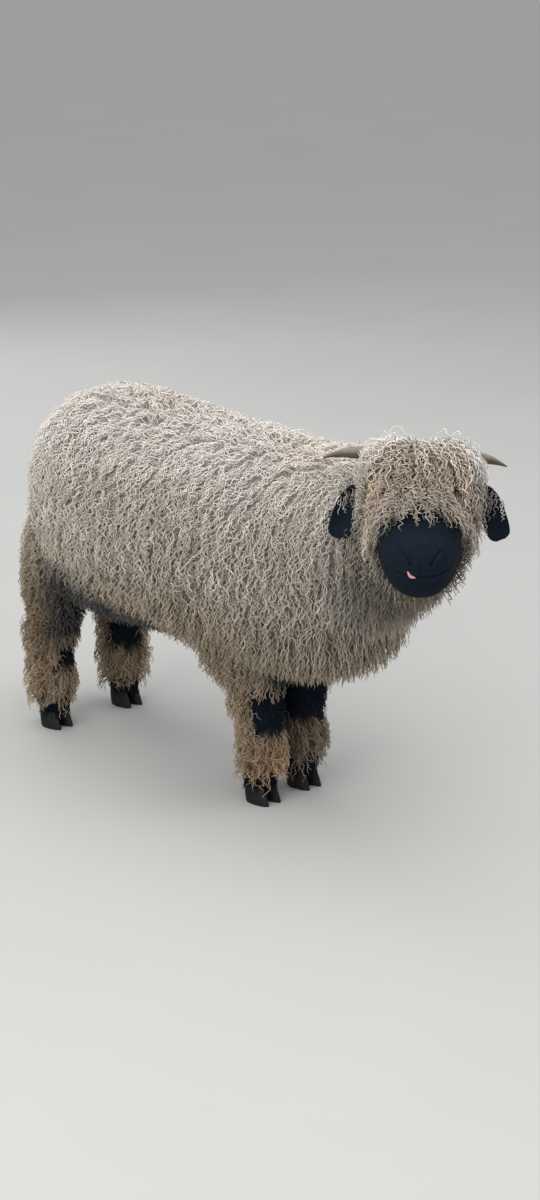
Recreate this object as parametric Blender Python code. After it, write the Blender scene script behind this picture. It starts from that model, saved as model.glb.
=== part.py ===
"""Valais Blacknose ewe in full fleece, standing with her head turned to her right: a still, life-size model.

Metres, +Z up. She faces -Y and her left side is +X. Sizes are those of the coat's outer surface unless a
line says skin or bone. Every node is one closed body, and touching nodes keep GAP between them.
"""

import math

import bmesh
import bpy
import numpy as np
from mathutils import Vector
from mathutils.bvhtree import BVHTree

GAP = 0.0003                  # kept between touching nodes
X, Y, Z = Vector((1, 0, 0)), Vector((0, 1, 0)), Vector((0, 0, 1))
SIDES = {"right": -1.0, "left": 1.0}

# Torso: (y, half width, height of the belly, height of the back), chest to rump, at the coat's tips.
TORSO_ROWS = (
    (-0.605, 0.115, 0.395, 0.625),
    (-0.555, 0.178, 0.325, 0.715),
    (-0.450, 0.222, 0.300, 0.788),
    (-0.300, 0.240, 0.305, 0.806),
    (-0.120, 0.247, 0.306, 0.808),
    (0.050, 0.246, 0.292, 0.822),
    (0.170, 0.230, 0.292, 0.832),
    (0.260, 0.204, 0.318, 0.818),
    (0.332, 0.162, 0.362, 0.765),
    (0.380, 0.100, 0.395, 0.685),
)
TORSO_POWER = 2.35            # 2 is an ellipse, more is squarer
TORSO_NARROW_TOP = 0.10       # how much slimmer the top half is than the lower half
TORSO_RINGS, TORSO_SEGMENTS = 11, 16

# Neck: centre line from inside the shoulders to behind the jaw, with half width and half height.
NECK_ROWS = (
    (0.000, -0.400, 0.575, 0.212, 0.210),
    (0.004, -0.520, 0.596, 0.203, 0.214),
    (0.008, -0.625, 0.628, 0.180, 0.188),
    (-0.006, -0.712, 0.664, 0.150, 0.158),
    (-0.034, -0.772, 0.700, 0.115, 0.118),
)
NECK_RINGS, NECK_SEGMENTS = 7, 14
SHOULDER_POINT = Vector((0.0, -0.500, 0.610))               # the parting of torso and neck
SHOULDER_WAY = Vector((0.0, -0.82, 0.57)).normalized()      # from the torso to the neck

# Head: her own axes. The poll is the top of the skull between the horns.
POLL = Vector((-0.047, -0.7725, 0.822))
HEAD_TURN = math.radians(46.0)     # to her right, from straight ahead
HEAD_PITCH = math.radians(14)      # nose below the poll
FACING = Vector((-math.sin(HEAD_TURN), -math.cos(HEAD_TURN), 0.0))
HEAD_SIDE = Vector((math.cos(HEAD_TURN), -math.sin(HEAD_TURN), 0.0))     # towards her left
MUZZLE_WAY = FACING * math.cos(HEAD_PITCH) - Z * math.sin(HEAD_PITCH)
BROW_WAY = HEAD_SIDE.cross(MUZZLE_WAY)                                   # out of the forehead
if BROW_WAY.z < 0:
    BROW_WAY = -BROW_WAY
THROAT = (0.085, -0.188)           # along, brow: where the partings behind and under the head meet
NAPE = (-0.090, -0.066)            # a point of the parting behind the head
CHIN = (0.270, -0.172)             # a point of the parting under it

# Bare head with its short hair: (along the muzzle axis, half width, throat side, brow side).
HEAD_ROWS = (
    (-0.050, 0.046, -0.092, -0.020),
    (-0.015, 0.064, -0.134, 0.000),
    (0.038, 0.075, -0.166, 0.004),
    (0.085, 0.082, -0.180, 0.000),
    (0.125, 0.083, -0.178, -0.006),
    (0.163, 0.079, -0.170, -0.014),
    (0.197, 0.072, -0.161, -0.022),
    (0.226, 0.062, -0.152, -0.032),
    (0.248, 0.047, -0.137, -0.046),
)
NOSE_TIP = (0.258, -0.088)         # along, brow
HEAD_RINGS, HEAD_SEGMENTS = 14, 20
HEAD_POWER = 2.2
SHORT_HAIR = 0.006                         # what stands farther out than this on the head is wool
CROWN_CENTRE = (0.026, 0.0, -0.031)        # of the wool on the head: along, side, brow
CROWN_REACH = (0.112, 0.133, 0.102)        # its half sizes on the same axes
CROWN_POWER = 2.6                          # 2 is an ellipse seen from the front, more is squarer

# Eyes
EYE_AT = (0.098, 0.0615, -0.041)            # along, side, brow
EYE_RADIUS = 0.0125
LID = 0.0030                               # thickness of the lids over the eyeball
EYE_OPENING = (0.0105, 0.0065)             # half length and half height of the gap between the lids
EYE_WAY = (0.30, 0.86, 0.30)               # where the eye looks: along, side, brow
EYE_CLEARING = 0.075                       # how far out the wool stays open before the eye

# Mouth, lips and nostrils
MOUTH_CENTRE = (0.172, -0.096)             # along, brow: the middle of the arc that the mouth line follows
MOUTH_SPREAD = math.radians(82)            # how far the line runs back on each side
MOUTH_HALF_GAP = 0.0012
MOUTH_DEPTH = 0.006
LIP_RADIUS = 0.0055
LIP_SHIFT = 0.0052                         # how far each lip's middle lies above or below the mouth line
NOSTRIL_AT = (0.275, 0.020, -0.070)        # along, side, brow, just in front of the skin
NOSTRIL_RIM = 0.0035
NOSTRIL_ROWS = ((0.000, 0.0046), (0.010, 0.0040), (0.019, 0.0022))    # (length along the slit, radius)

# Tongue tip, out on her right
TONGUE_SIDE = -0.018
TONGUE_HALF = (0.011, 0.0085, 0.0032)      # half width, half length, half thickness

# Ear: (out to the side, down, back) from its root, with half width and half thickness.
EAR_ROOT = (0.018, 0.060, -0.036)
EAR_ROWS = (
    (0.000, 0.000, 0.000, 0.013, 0.0095),
    (0.038, 0.004, 0.000, 0.018, 0.0085),
    (0.066, 0.018, 0.002, 0.022, 0.0065),
    (0.080, 0.046, 0.004, 0.0235, 0.0050),
    (0.090, 0.077, 0.004, 0.0230, 0.0042),
    (0.097, 0.101, 0.003, 0.0155, 0.0034),
)
EAR_RINGS, EAR_SEGMENTS = 10, 8
EAR_CUP = 0.009               # depth of the hollow in its front face

# Horn: (out to the side, up, back) from its root, with its radius.
HORN_ROOT = (-0.006, 0.030, -0.020)
HORN_ROWS = (
    (0.000, 0.000, 0.000, 0.0165),
    (0.036, 0.023, 0.006, 0.0150),
    (0.074, 0.035, 0.012, 0.0120),
    (0.108, 0.036, 0.018, 0.0088),
    (0.136, 0.031, 0.022, 0.0054),
    (0.158, 0.024, 0.024, 0.0020),
)
HORN_LENGTH = {"right": 1.0, "left": 0.88}
HORN_DROOP = {"right": 0.000, "left": 0.014}      # how much lower its tip hangs
HORN_RINGS, HORN_SEGMENTS = 16, 9
HORN_RIDGE = 0.045            # height of the growth rings, as a share of the radius

# Tail: centre line down the back of the rump, with its radius.
TAIL_ROWS = (
    (0.0, 0.335, 0.725, 0.036),
    (0.0, 0.392, 0.660, 0.046),
    (0.0, 0.412, 0.560, 0.048),
    (0.0, 0.412, 0.460, 0.043),
    (0.0, 0.404, 0.385, 0.030),
)
TAIL_FLAT = 0.8               # its depth as a share of its width
TAIL_RINGS, TAIL_SEGMENTS = 6, 8

# Leg columns up from the coronet: (height, half width, half length, sideways shift, forward shift, wool:
# 1 where locks grow, 0 on the short black hair).
CORONET = 0.040
FORE_ROWS = (
    (CORONET, 0.033, 0.037, 0.000, 0.000, 0),
    (0.070, 0.036, 0.038, 0.000, 0.002, 0),
    (0.085, 0.052, 0.055, 0.000, 0.002, 1),
    (0.125, 0.055, 0.060, 0.000, 0.002, 1),
    (0.170, 0.051, 0.056, 0.000, 0.004, 1),
    (0.200, 0.047, 0.054, 0.000, 0.004, 0),
    (0.245, 0.054, 0.074, 0.004, -0.006, 0.5),
    (0.290, 0.064, 0.104, 0.012, -0.022, 1),
    (0.340, 0.071, 0.120, 0.022, -0.032, 1),
    (0.420, 0.060, 0.090, 0.036, -0.030, 1),
)
HIND_ROWS = (
    (CORONET, 0.033, 0.037, 0.000, 0.000, 0),
    (0.070, 0.036, 0.038, 0.000, 0.000, 0),
    (0.085, 0.054, 0.056, 0.000, 0.000, 1),
    (0.130, 0.060, 0.061, 0.000, 0.000, 1),
    (0.190, 0.057, 0.061, 0.000, 0.000, 1),
    (0.240, 0.058, 0.067, 0.002, 0.006, 0.4),
    (0.300, 0.063, 0.078, 0.004, 0.020, 1),
    (0.350, 0.070, 0.090, 0.006, 0.034, 1),
    (0.420, 0.074, 0.102, 0.000, 0.050, 1),
    (0.500, 0.060, 0.092, -0.012, 0.064, 1),
    (0.570, 0.030, 0.055, -0.025, 0.080, 1),
)
FEET = {                      # where each foot stands: x, y
    "fore_right": (-0.066, -0.340),
    "fore_left": (0.062, -0.335),
    "hind_right": (-0.107, 0.330),
    "hind_left": (0.107, 0.330),
}
LEG_RINGS, LEG_SEGMENTS = 11, 10

# Boxes that part a leg or the tail from the torso: lowest and highest (outwards, y, z).
PARTING = {
    "fore": ((0.004, -0.52, -0.05), (0.24, -0.16, 0.296)),
    "hind": ((0.004, 0.12, -0.05), (0.24, 0.52, 0.334)),
    "tail": ((-0.062, 0.372, 0.345), (0.062, 0.60, 0.715)),
}

# Coat: for each woolly form, how far its core lies under the locks' outer face, a lock's length, half width
# and half thickness, and how far apart the locks are.
COAT = {
    "torso": (0.028, 0.230, 0.076, 0.023, 0.126),
    "neck": (0.026, 0.195, 0.066, 0.021, 0.110),
    "crown": (0.022, 0.120, 0.042, 0.016, 0.074),
    "leg": (0.011, 0.090, 0.040, 0.012, 0.074),
    "tail": (0.014, 0.140, 0.044, 0.013, 0.090),
}
DRIFT = {                     # where the coat lies besides down the slope
    "torso": Y * 0.30,
    "neck": Y * 0.20,
    "crown": FACING * 0.60,
    "leg": Y * 0.10,
    "tail": Y * 0.10,
}
LOCK_SECTION = ((1.0, 0.0), (0.5, 0.9), (-0.5, 0.9), (-1.0, 0.0), (0.0, -0.9))     # across, outwards
LOCK_ROWS = (                 # shares: along its length from the place it covers, width, thickness, depth
    (-0.38, 0.60, 0.80, 2.40),
    (0.00, 1.00, 1.00, 0.80),
    (0.46, 0.68, 0.80, 0.65),
    (0.62, 0.00, 0.00, 0.50),
)
EDGE = 0.6                    # a lock hangs straight on where the surface turns away by more than this cosine
LOCK_REACH = 1.30             # how much farther apart roots are along the lie than across it
LOCK_WAVE = 0.16              # sideways swing, as a share of the width
LOCK_VARIETY = 0.14           # how much one lock differs in size from the next
UNDERSIDE = -0.80             # faces that look down more steeply than this carry no locks
WOOL_HANG = 0.02              # how far a leg's wool hangs down over the short hair below it
LOWEST_LOCK = 0.10            # height of the lowest locks on a leg
LEG_OVERLAP = 0.02            # how far a leg's own locks run up under those of the trunk
CANDIDATES = 1500             # places tried on each form
SEED = 11

# Claw: half width and length of the sole, and how far the toe leans ahead of the coronet.
CLAW_HALF_WIDTH = 0.0150
CLAW_LENGTH = 0.066
CLAW_TOE = 0.012
CLEFT = 0.0025                # half the gap between the two claws of a foot
CLAW_ROWS = ((0.0, 1.0, 1.0), (CORONET * 0.45, 0.97, 0.55), (CORONET, 0.80, 0.0))   # height, size, lean
CLAW_SEGMENTS = 10


def clear_scene():
    for old in list(bpy.data.objects):
        bpy.data.objects.remove(old, do_unlink=True)


def paint(name, rgb, roughness):
    """One Principled material."""
    made = bpy.data.materials.get(name) or bpy.data.materials.new(name)
    made.use_nodes = True
    shader = made.node_tree.nodes["Principled BSDF"]
    shader.inputs["Base Color"].default_value = (*rgb, 1.0)
    shader.inputs["Roughness"].default_value = roughness
    return made


def add_object(name, bm, look=None):
    """Puts a bmesh in the scene as one object."""
    mesh = bpy.data.meshes.new(name)
    bm.to_mesh(mesh)
    bm.free()
    made = bpy.data.objects.new(name, mesh)
    bpy.context.scene.collection.objects.link(made)
    if look:
        mesh.materials.append(look)
    return made


def smooth_rows(rows, count):
    """Rows along a Catmull-Rom curve through the given rows, evenly spaced by index."""
    rows = np.array(rows, float)
    padded = np.vstack([2 * rows[0] - rows[1], rows, 2 * rows[-1] - rows[-2]])
    made = []
    for at in np.linspace(0, len(rows) - 1, count):
        k = min(int(at), len(rows) - 2)
        t = at - k
        a, b, c, d = padded[k:k + 4]
        made.append(0.5 * (2 * b + (c - a) * t + (2 * a - 5 * b + 4 * c - d) * t * t
                           + (3 * b - 3 * c + d - a) * t ** 3))
    return made


def ring_points(centre, side, up, half_width, half_height, segments, power=2.0, narrow_top=0.0):
    """A closed superellipse ring round centre."""
    points = []
    for k in range(segments):
        turn = 2 * math.pi * k / segments
        c, s = math.cos(turn), math.sin(turn)
        across = math.copysign(abs(c) ** (2 / power), c) * (1 - narrow_top * s)
        along = math.copysign(abs(s) ** (2 / power), s)
        points.append(centre + side * (half_width * across) + up * (half_height * along))
    return points


def swell(bm, amount=GAP):
    """Moves every face of a form out by amount, for the pocket that another form sits in."""
    moves = [(vert, vert.normal * (amount * min(vert.calc_shell_factor(), 3.0))) for vert in bm.verts]
    for vert, move in moves:
        vert.co += move
    return bm


def loft(rings, start_pole, end_pole):
    """A closed bmesh of triangles through rings of equal count, with a fan to a pole at each end."""
    bm = bmesh.new()
    loops = [[bm.verts.new(p) for p in ring] for ring in rings]
    count = len(loops[0])
    for low, high in zip(loops, loops[1:]):
        for k in range(count):
            n = (k + 1) % count
            bm.faces.new((low[k], low[n], high[n]))
            bm.faces.new((low[k], high[n], high[k]))
    for loop, pole in ((loops[0], start_pole), (loops[-1], end_pole)):
        tip = bm.verts.new(pole)
        for k in range(count):
            bm.faces.new((loop[k], loop[(k + 1) % count], tip))
    bmesh.ops.recalc_face_normals(bm, faces=bm.faces[:])
    bm.normal_update()
    return bm


def prism(ring, way):
    """A closed form that runs from a flat ring along way."""
    rings = [ring, [point + way for point in ring]]
    return loft(rings, *(sum(loop, Vector()) / len(loop) for loop in rings))


def combine(body, forms, operation):
    """Applies one Boolean between body and a collection of closed forms, then removes them.

    The MANIFOLD solver, because EXACT leaves open edges where this many locks cross.
    """
    group = bpy.data.collections.new("operands")
    bpy.context.scene.collection.children.link(group)
    for form in forms:
        piece = add_object("operand", form)
        bpy.context.scene.collection.objects.unlink(piece)
        group.objects.link(piece)
    change = body.modifiers.new(operation.lower(), "BOOLEAN")
    change.operand_type = "COLLECTION"
    change.collection = group
    change.operation = operation
    change.solver = "MANIFOLD"
    bpy.context.view_layer.update()
    seen = body.evaluated_get(bpy.context.evaluated_depsgraph_get())
    result = bpy.data.meshes.new_from_object(seen)
    body.modifiers.clear()
    body.data = result
    for piece in list(group.objects):
        bpy.data.objects.remove(piece, do_unlink=True)
    bpy.data.collections.remove(group)


def keep_largest(body):
    """Drops every closed surface but the largest one."""
    bm = bmesh.new()
    bm.from_mesh(body.data)
    seen, groups = set(), []
    for start in bm.verts:
        if start in seen:
            continue
        group, queue = [], [start]
        seen.add(start)
        while queue:
            vert = queue.pop()
            group.append(vert)
            for edge in vert.link_edges:
                other = edge.other_vert(vert)
                if other not in seen:
                    seen.add(other)
                    queue.append(other)
        groups.append(group)
    groups.sort(key=span, reverse=True)
    loose = [vert for group in groups[1:] for vert in group]
    bmesh.ops.delete(bm, geom=loose, context="VERTS")
    bm.to_mesh(body.data)
    bm.free()


def span(group):
    """The length of a vertex group's bounding diagonal."""
    places = np.array([vert.co for vert in group])
    return float(np.linalg.norm(places.max(axis=0) - places.min(axis=0)))


def slab(point, normal, reach=1.0):
    """A large block that starts at a plane and fills the side that normal points to."""
    side = normal.orthogonal().normalized() * reach
    tall = normal.cross(side)
    return prism([point + side + tall, point - side + tall, point - side - tall, point + side - tall],
                 normal * reach * 2)


def block(low, high):
    """A box between two corners."""
    ring = [Vector((x, y, low[2])) for x, y in ((low[0], low[1]), (high[0], low[1]), (high[0], high[1]),
                                                (low[0], high[1]))]
    return prism(ring, Z * (high[2] - low[2]))


def leg_block(name, grow=0.0):
    """The box that holds one leg below the trunk."""
    kind, flank = name.split("_")
    low, high = PARTING[kind]
    ends = sorted(SIDES[flank] * value for value in (low[0] - grow, high[0]))
    return block((ends[0], low[1] - grow, low[2]), (ends[1], high[1] + grow, high[2] + grow))


def tail_block(grow=0.0):
    low, high = PARTING["tail"]
    return block((low[0] - grow, low[1] - grow, low[2] - grow), (high[0] + grow, high[1], high[2] + grow))


def torso_form(depth=0.0):
    """The trunk's closed loft, drawn in by depth."""
    rings = []
    for y, half_width, belly, back in smooth_rows(TORSO_ROWS, TORSO_RINGS):
        centre = Vector((0.0, y, (belly + back) / 2))
        rings.append(ring_points(centre, X, Z, half_width - depth, (back - belly) / 2 - depth,
                                 TORSO_SEGMENTS, TORSO_POWER, TORSO_NARROW_TOP))
    first, last = TORSO_ROWS[0], TORSO_ROWS[-1]
    chest = Vector((0.0, first[0] - 0.030 + depth, (first[2] + first[3]) / 2))
    rump = Vector((0.0, last[0] + 0.022 - depth, (last[2] + last[3]) / 2))
    return loft(rings, chest, rump)


def tube_form(line, sizes, segments, end_reach=0.6, power=2.0, level=None):
    """A closed loft square to a line of points. sizes are (half width, half height) at each point."""
    rings = []
    for k, point in enumerate(line):
        along = (line[min(k + 1, len(line) - 1)] - line[max(k - 1, 0)]).normalized()
        side = (level or Z).cross(along).normalized()
        rings.append(ring_points(point, side, along.cross(side), *sizes[k], segments, power))
    start = line[0] + (line[0] - line[1]).normalized() * (sizes[0][0] * end_reach)
    end = line[-1] + (line[-1] - line[-2]).normalized() * (sizes[-1][0] * end_reach)
    return loft(rings, start, end)


def neck_form(depth=0.0):
    rows = smooth_rows(NECK_ROWS, NECK_RINGS)
    line = [Vector(row[:3]) for row in rows]
    return tube_form(line, [(row[3] - depth, row[4] - depth) for row in rows], NECK_SEGMENTS, 0.3)


def head_way(along, side, brow):
    """A direction in the head's own axes."""
    return MUZZLE_WAY * along + HEAD_SIDE * side + BROW_WAY * brow


def in_head(along, side, brow):
    """A place in the head's own axes."""
    return POLL + head_way(along, side, brow)


def head_form():
    """The bare head's closed loft."""
    rings = []
    for along, half_width, throat, brow in smooth_rows(HEAD_ROWS, HEAD_RINGS):
        centre = in_head(along, 0.0, (throat + brow) / 2)
        rings.append(ring_points(centre, HEAD_SIDE, BROW_WAY, half_width, (brow - throat) / 2,
                                 HEAD_SEGMENTS, HEAD_POWER, 0.06))
    return loft(rings, in_head(-0.064, 0, -0.052), in_head(NOSE_TIP[0], 0, NOSE_TIP[1]))


def head_block(grow=0.0):
    """A wedge that holds the head: its two long faces part it from the neck behind and below."""
    corner = Vector(THROAT)
    back = (Vector(NAPE) - corner).normalized()
    under = (Vector(CHIN) - corner).normalized()
    inwards = (back + under).normalized()
    corner = corner - inwards * (grow / abs(inwards.x * back.y - inwards.y * back.x))
    outline = [corner, corner + under * 0.5, corner + under * 0.3 + inwards * 0.8, corner + back * 0.5]
    rings = [[in_head(point.x, side, point.y) for point in outline] for side in (-0.35, 0.35)]
    poles = [sum(ring, Vector()) / len(ring) for ring in rings]
    return loft(rings, *poles)


def ball_form(centre, axes, sizes, rows=10, segments=16, power=2.0):
    """A closed ball round centre with its own axes and half sizes, squarer across with more power."""
    across, tall, along = (axis * size for axis, size in zip(axes, sizes))
    rings = []
    for k in range(1, rows):
        turn = math.pi * k / rows
        size = math.sin(turn)
        rings.append(ring_points(centre - along * math.cos(turn), across, tall, size, size, segments, power))
    return loft(rings, centre - along, centre + along)


def crown_form(depth=0.0):
    """The mass of wool on the head, drawn in by depth."""
    along, side, brow = (size - depth for size in CROWN_REACH)
    return ball_form(in_head(*CROWN_CENTRE), (HEAD_SIDE, BROW_WAY, MUZZLE_WAY), (side, brow, along), 8, 14, CROWN_POWER)


def eye_centre(flank):
    along, side, brow = EYE_AT
    return in_head(along, side * SIDES[flank], brow)


def eye_form(flank):
    return ball_form(eye_centre(flank), (X, Y, Z), (EYE_RADIUS,) * 3, 6, 10)


def lid_form(flank):
    """The lids' outer bulge over the eyeball."""
    return ball_form(eye_centre(flank), (X, Y, Z), (EYE_RADIUS + LID,) * 3, 7, 12)


def eye_opening(flank):
    """An almond-shaped passage that widens outwards from between the lids."""
    way = head_way(EYE_WAY[0], EYE_WAY[1] * SIDES[flank], EYE_WAY[2]).normalized()
    tall = (BROW_WAY - way * BROW_WAY.dot(way)).normalized()
    long = tall.cross(way)
    rings = []
    for reach, flare in ((EYE_RADIUS * 0.55, 1.0), (EYE_RADIUS + LID * 2, 1.15), (EYE_CLEARING, 2.6)):
        centre = eye_centre(flank) + way * reach
        rings.append(ring_points(centre, long, tall, EYE_OPENING[0] * flare, EYE_OPENING[1] * flare, 10, 1.6))
    poles = [sum(ring, Vector()) / len(ring) for ring in (rings[0], rings[-1])]
    return loft(rings, *poles)


def mouth_line(skin, offset=0.0, brow_shift=0.0, count=11):
    """Points on the skin round the front of the muzzle, moved out by offset, and their outward ways."""
    along, brow = MOUTH_CENTRE
    start = in_head(along, 0.0, brow + brow_shift)
    points, ways = [], []
    for turn in np.linspace(-MOUTH_SPREAD, MOUTH_SPREAD, count):
        way = head_way(math.cos(turn), math.sin(turn), 0.10 * (1 - math.cos(turn)))
        place = skin.ray_cast(start, way.normalized())[0]
        points.append(place + way.normalized() * offset)
        ways.append(way.normalized())
    return points, ways


def mouth_cut(skin):
    """The thin slot between the lips."""
    points, ways = mouth_line(skin)
    rings = []
    for place, way in zip(points, ways):
        inner, outer = place - way * MOUTH_DEPTH, place + way * MOUTH_DEPTH * 2
        rings.append([inner - BROW_WAY * MOUTH_HALF_GAP, outer - BROW_WAY * MOUTH_HALF_GAP * 2,
                      outer + BROW_WAY * MOUTH_HALF_GAP * 2, inner + BROW_WAY * MOUTH_HALF_GAP])
    poles = [sum(ring, Vector()) / 4 for ring in (rings[0], rings[-1])]
    return loft(rings, *poles)


def lip_form(skin, brow_shift):
    """A rounded lip that follows the mouth and thins towards its corners."""
    points, ways = mouth_line(skin, -LIP_RADIUS * 0.55, brow_shift)
    sizes = []
    for k in range(len(points)):
        share = abs(2 * k / (len(points) - 1) - 1)
        radius = LIP_RADIUS * (1 - 0.55 * share ** 2)
        sizes.append((radius, radius))
    return tube_form(points, sizes, 7, 0.8, level=BROW_WAY)


def nostril_form(flank, skin, radius_add=0.0, lift=0.0):
    """A comma that runs from beside the lip up and outwards over the nose."""
    along, side, brow = NOSTRIL_AT
    side *= SIDES[flank]
    points, sizes = [], []
    for length, radius in smooth_rows(NOSTRIL_ROWS, 6):
        sweep = length / NOSTRIL_ROWS[-1][0]
        start = in_head(along, side + SIDES[flank] * length * (0.35 + 0.55 * sweep), brow + length * 0.95)
        place, normal = skin.ray_cast(start, -MUZZLE_WAY)[:2]
        points.append(place + normal * lift)
        sizes.append((radius + radius_add, radius + radius_add))
    return tube_form(points, sizes, 7, 0.9, level=MUZZLE_WAY)


def tongue_form(skin):
    """A flat rounded tip that pushes out between the lips."""
    along, brow = MOUTH_CENTRE
    turn = math.asin(TONGUE_SIDE / (NOSE_TIP[0] - along))
    way = head_way(math.cos(turn), math.sin(turn), 0.0)
    place = skin.ray_cast(in_head(along, 0.0, brow), way)[0]
    across = BROW_WAY.cross(way).normalized()
    out = (way - BROW_WAY * 0.35).normalized()
    flat = across.cross(out)
    return ball_form(place + way * 0.002, (across, out, flat), TONGUE_HALF, 6, 10)


def ear_form(flank):
    """A drooping leaf with a hollow cup on its front face."""
    out = HEAD_SIDE * SIDES[flank]
    root = in_head(EAR_ROOT[0], EAR_ROOT[1] * SIDES[flank], EAR_ROOT[2])
    rows = smooth_rows(EAR_ROWS, EAR_RINGS)
    line = [root + out * row[0] - Z * row[1] - FACING * row[2] for row in rows]
    rings = []
    for k, row in enumerate(rows):
        along = (line[min(k + 1, len(line) - 1)] - line[max(k - 1, 0)]).normalized()
        broad = FACING.cross(along).normalized()
        front = broad.cross(along)
        if front.dot(FACING) < 0:
            front = -front
        share = k / (len(rows) - 1)
        cup = EAR_CUP * math.sin(math.pi * share) ** 0.7
        ring = []
        for j in range(EAR_SEGMENTS):
            turn = 2 * math.pi * j / EAR_SEGMENTS
            across, face = math.cos(turn), math.sin(turn)
            bend = cup * (across * across - 0.6)
            ring.append(line[k] + broad * (across * row[3]) + front * (face * row[4] + bend))
        rings.append(ring)
    first = line[0] - (line[1] - line[0]).normalized() * 0.004
    last = line[-1] + (line[-1] - line[-2]).normalized() * 0.006
    return loft(rings, first, last)


def horn_form(flank):
    """A short curved horn with low growth rings."""
    out = HEAD_SIDE * SIDES[flank]
    root = in_head(HORN_ROOT[0], HORN_ROOT[1] * SIDES[flank], HORN_ROOT[2])
    line, sizes = [], []
    for k, row in enumerate(smooth_rows(HORN_ROWS, HORN_RINGS)):
        droop = HORN_DROOP[flank] * row[0] / HORN_ROWS[-1][0]
        line.append(root + out * (row[0] * HORN_LENGTH[flank]) + Z * (row[1] - droop) - FACING * row[2])
        radius = row[3] * (1 + HORN_RIDGE * (k % 2))
        sizes.append((radius, radius * 0.82))
    return tube_form(line, sizes, HORN_SEGMENTS, 0.4)


def tail_form(depth=0.0):
    rows = smooth_rows(TAIL_ROWS, TAIL_RINGS)
    line = [Vector(row[:3]) for row in rows]
    sizes = [(row[3] - depth, row[3] * TAIL_FLAT - depth) for row in rows]
    return tube_form(line, sizes, TAIL_SEGMENTS, 0.5, level=Y)


def leg_form(name, depth=0.0):
    """One leg column from inside the body down to the coronet, flat at both ends."""
    kind, flank = name.split("_")
    foot_x, foot_y = FEET[name]
    rings = []
    for row in smooth_rows(FORE_ROWS if kind == "fore" else HIND_ROWS, LEG_RINGS):
        height, half_width, half_length, out, ahead, wool = row
        centre = Vector((foot_x + SIDES[flank] * out, foot_y - ahead, height + GAP))
        inset = depth * max(0.0, min(1.0, wool))
        rings.append(ring_points(centre, X, Y, half_width - inset, half_length - inset, LEG_SEGMENTS, 2.3))
    poles = [sum(ring, Vector()) / LEG_SEGMENTS for ring in (rings[0], rings[-1])]
    return loft(rings, *poles)


def wool_at(name, height):
    """How woolly a leg is at a height: 1 in full wool, 0 on short hair."""
    rows = FORE_ROWS if name.startswith("fore") else HIND_ROWS
    return float(np.interp(height, [row[0] for row in rows], [row[5] for row in rows]))


def claw_form(name, half):
    """One of a foot's two claws: a wedge with a flat sole and a rounded toe."""
    foot_x, foot_y = FEET[name]
    rings = []
    for height, size, lean in CLAW_ROWS:
        ring = []
        for k in range(CLAW_SEGMENTS):
            turn = 2 * math.pi * k / CLAW_SEGMENTS
            ahead = math.cos(turn)
            across = math.sin(turn) * (1 - 0.28 * ahead)
            x = foot_x + half * (CLEFT + CLAW_HALF_WIDTH * (1 + across * size))
            y = foot_y - (CLAW_LENGTH / 2 * ahead * size + CLAW_TOE * lean)
            ring.append(Vector((x, y, height)))
        rings.append(ring)
    poles = [sum(ring, Vector()) / CLAW_SEGMENTS for ring in (rings[0], rings[-1])]
    return loft(rings, *poles)


def lie_of(normal, drift):
    """The way the coat lies where a surface faces normal: down the slope, turned towards drift."""
    way = drift - Z
    return (way - normal * way.dot(normal)).normalized()


def lock_form(guide, place, normal, sizes, drift, rng):
    """One tapered clump: its root is sunk uphill of place and its tip lies farther down the guide surface."""
    length, half_width, half_thick = sizes
    phase = rng.uniform(0, 2 * math.pi)
    here, done, rings = place, 0.0, []
    for along, width, thick, depth in LOCK_ROWS:
        way = lie_of(normal, drift)
        if along > 0:
            here = here + way * (length * (along - done))
            near, turned = guide.find_nearest(here)[:2]
            if turned.dot(normal) > EDGE:
                here, normal = near, turned
            done = along
        across = normal.cross(lie_of(normal, drift)).normalized()
        swing = LOCK_WAVE * half_width * math.sin(phase + 2 * math.pi * along)
        centre = here + way * (length * min(along, 0.0)) + across * swing - normal * (half_thick * depth)
        rings.append([centre + across * (a * half_width * width) + normal * (o * half_thick * thick)
                      for a, o in LOCK_SECTION])
    tip = rings.pop()[0]
    return loft(rings, sum(rings[0], Vector()) / len(LOCK_SECTION), tip)


def spread_roots(kind, form, bare, rng):
    """Places spread evenly over a form: each next one is the candidate farthest from those taken."""
    areas = np.array([face.calc_area() for face in form.faces])
    picks = rng.choice(len(areas), CANDIDATES, p=areas / areas.sum())
    form.faces.ensure_lookup_table()
    places, normals, ways = [], [], []
    for pick in picks:
        low, high = sorted(rng.random(2))
        a, b, c = (vert.co for vert in form.faces[pick].verts)
        place, normal = a * low + b * (high - low) + c * (1 - high), form.faces[pick].normal
        if not bare(place, normal):
            places.append(place)
            normals.append(normal.copy())
            ways.append(lie_of(normal, DRIFT[kind]))
    spots, lies = np.array(places), np.array(ways)
    nearest = np.full(len(spots), np.inf)
    taken, pick = [], 0
    while nearest.max() > COAT[kind][4] ** 2:
        taken.append(pick)
        gaps = spots - spots[pick]
        along = gaps @ lies[pick]
        apart = (gaps ** 2).sum(axis=1) - along ** 2 * (1 - 1 / LOCK_REACH ** 2)
        nearest = np.minimum(nearest, apart)
        pick = int(nearest.argmax())
    return [(places[k], normals[k]) for k in taken]


def grow_locks(kind, form, bare, rng):
    """Locks spread evenly over a form, but not where bare(place, normal) holds."""
    length, half_width, half_thick = COAT[kind][1:4]
    guide = BVHTree.FromBMesh(form)
    locks = []
    for place, normal in spread_roots(kind, form, bare, rng):
        size = 1 + LOCK_VARIETY * rng.uniform(-1, 1)
        sizes = (length * size, half_width * size, half_thick)
        locks.append(lock_form(guide, place, normal, sizes, DRIFT[kind], rng))
    form.free()
    return locks


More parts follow.
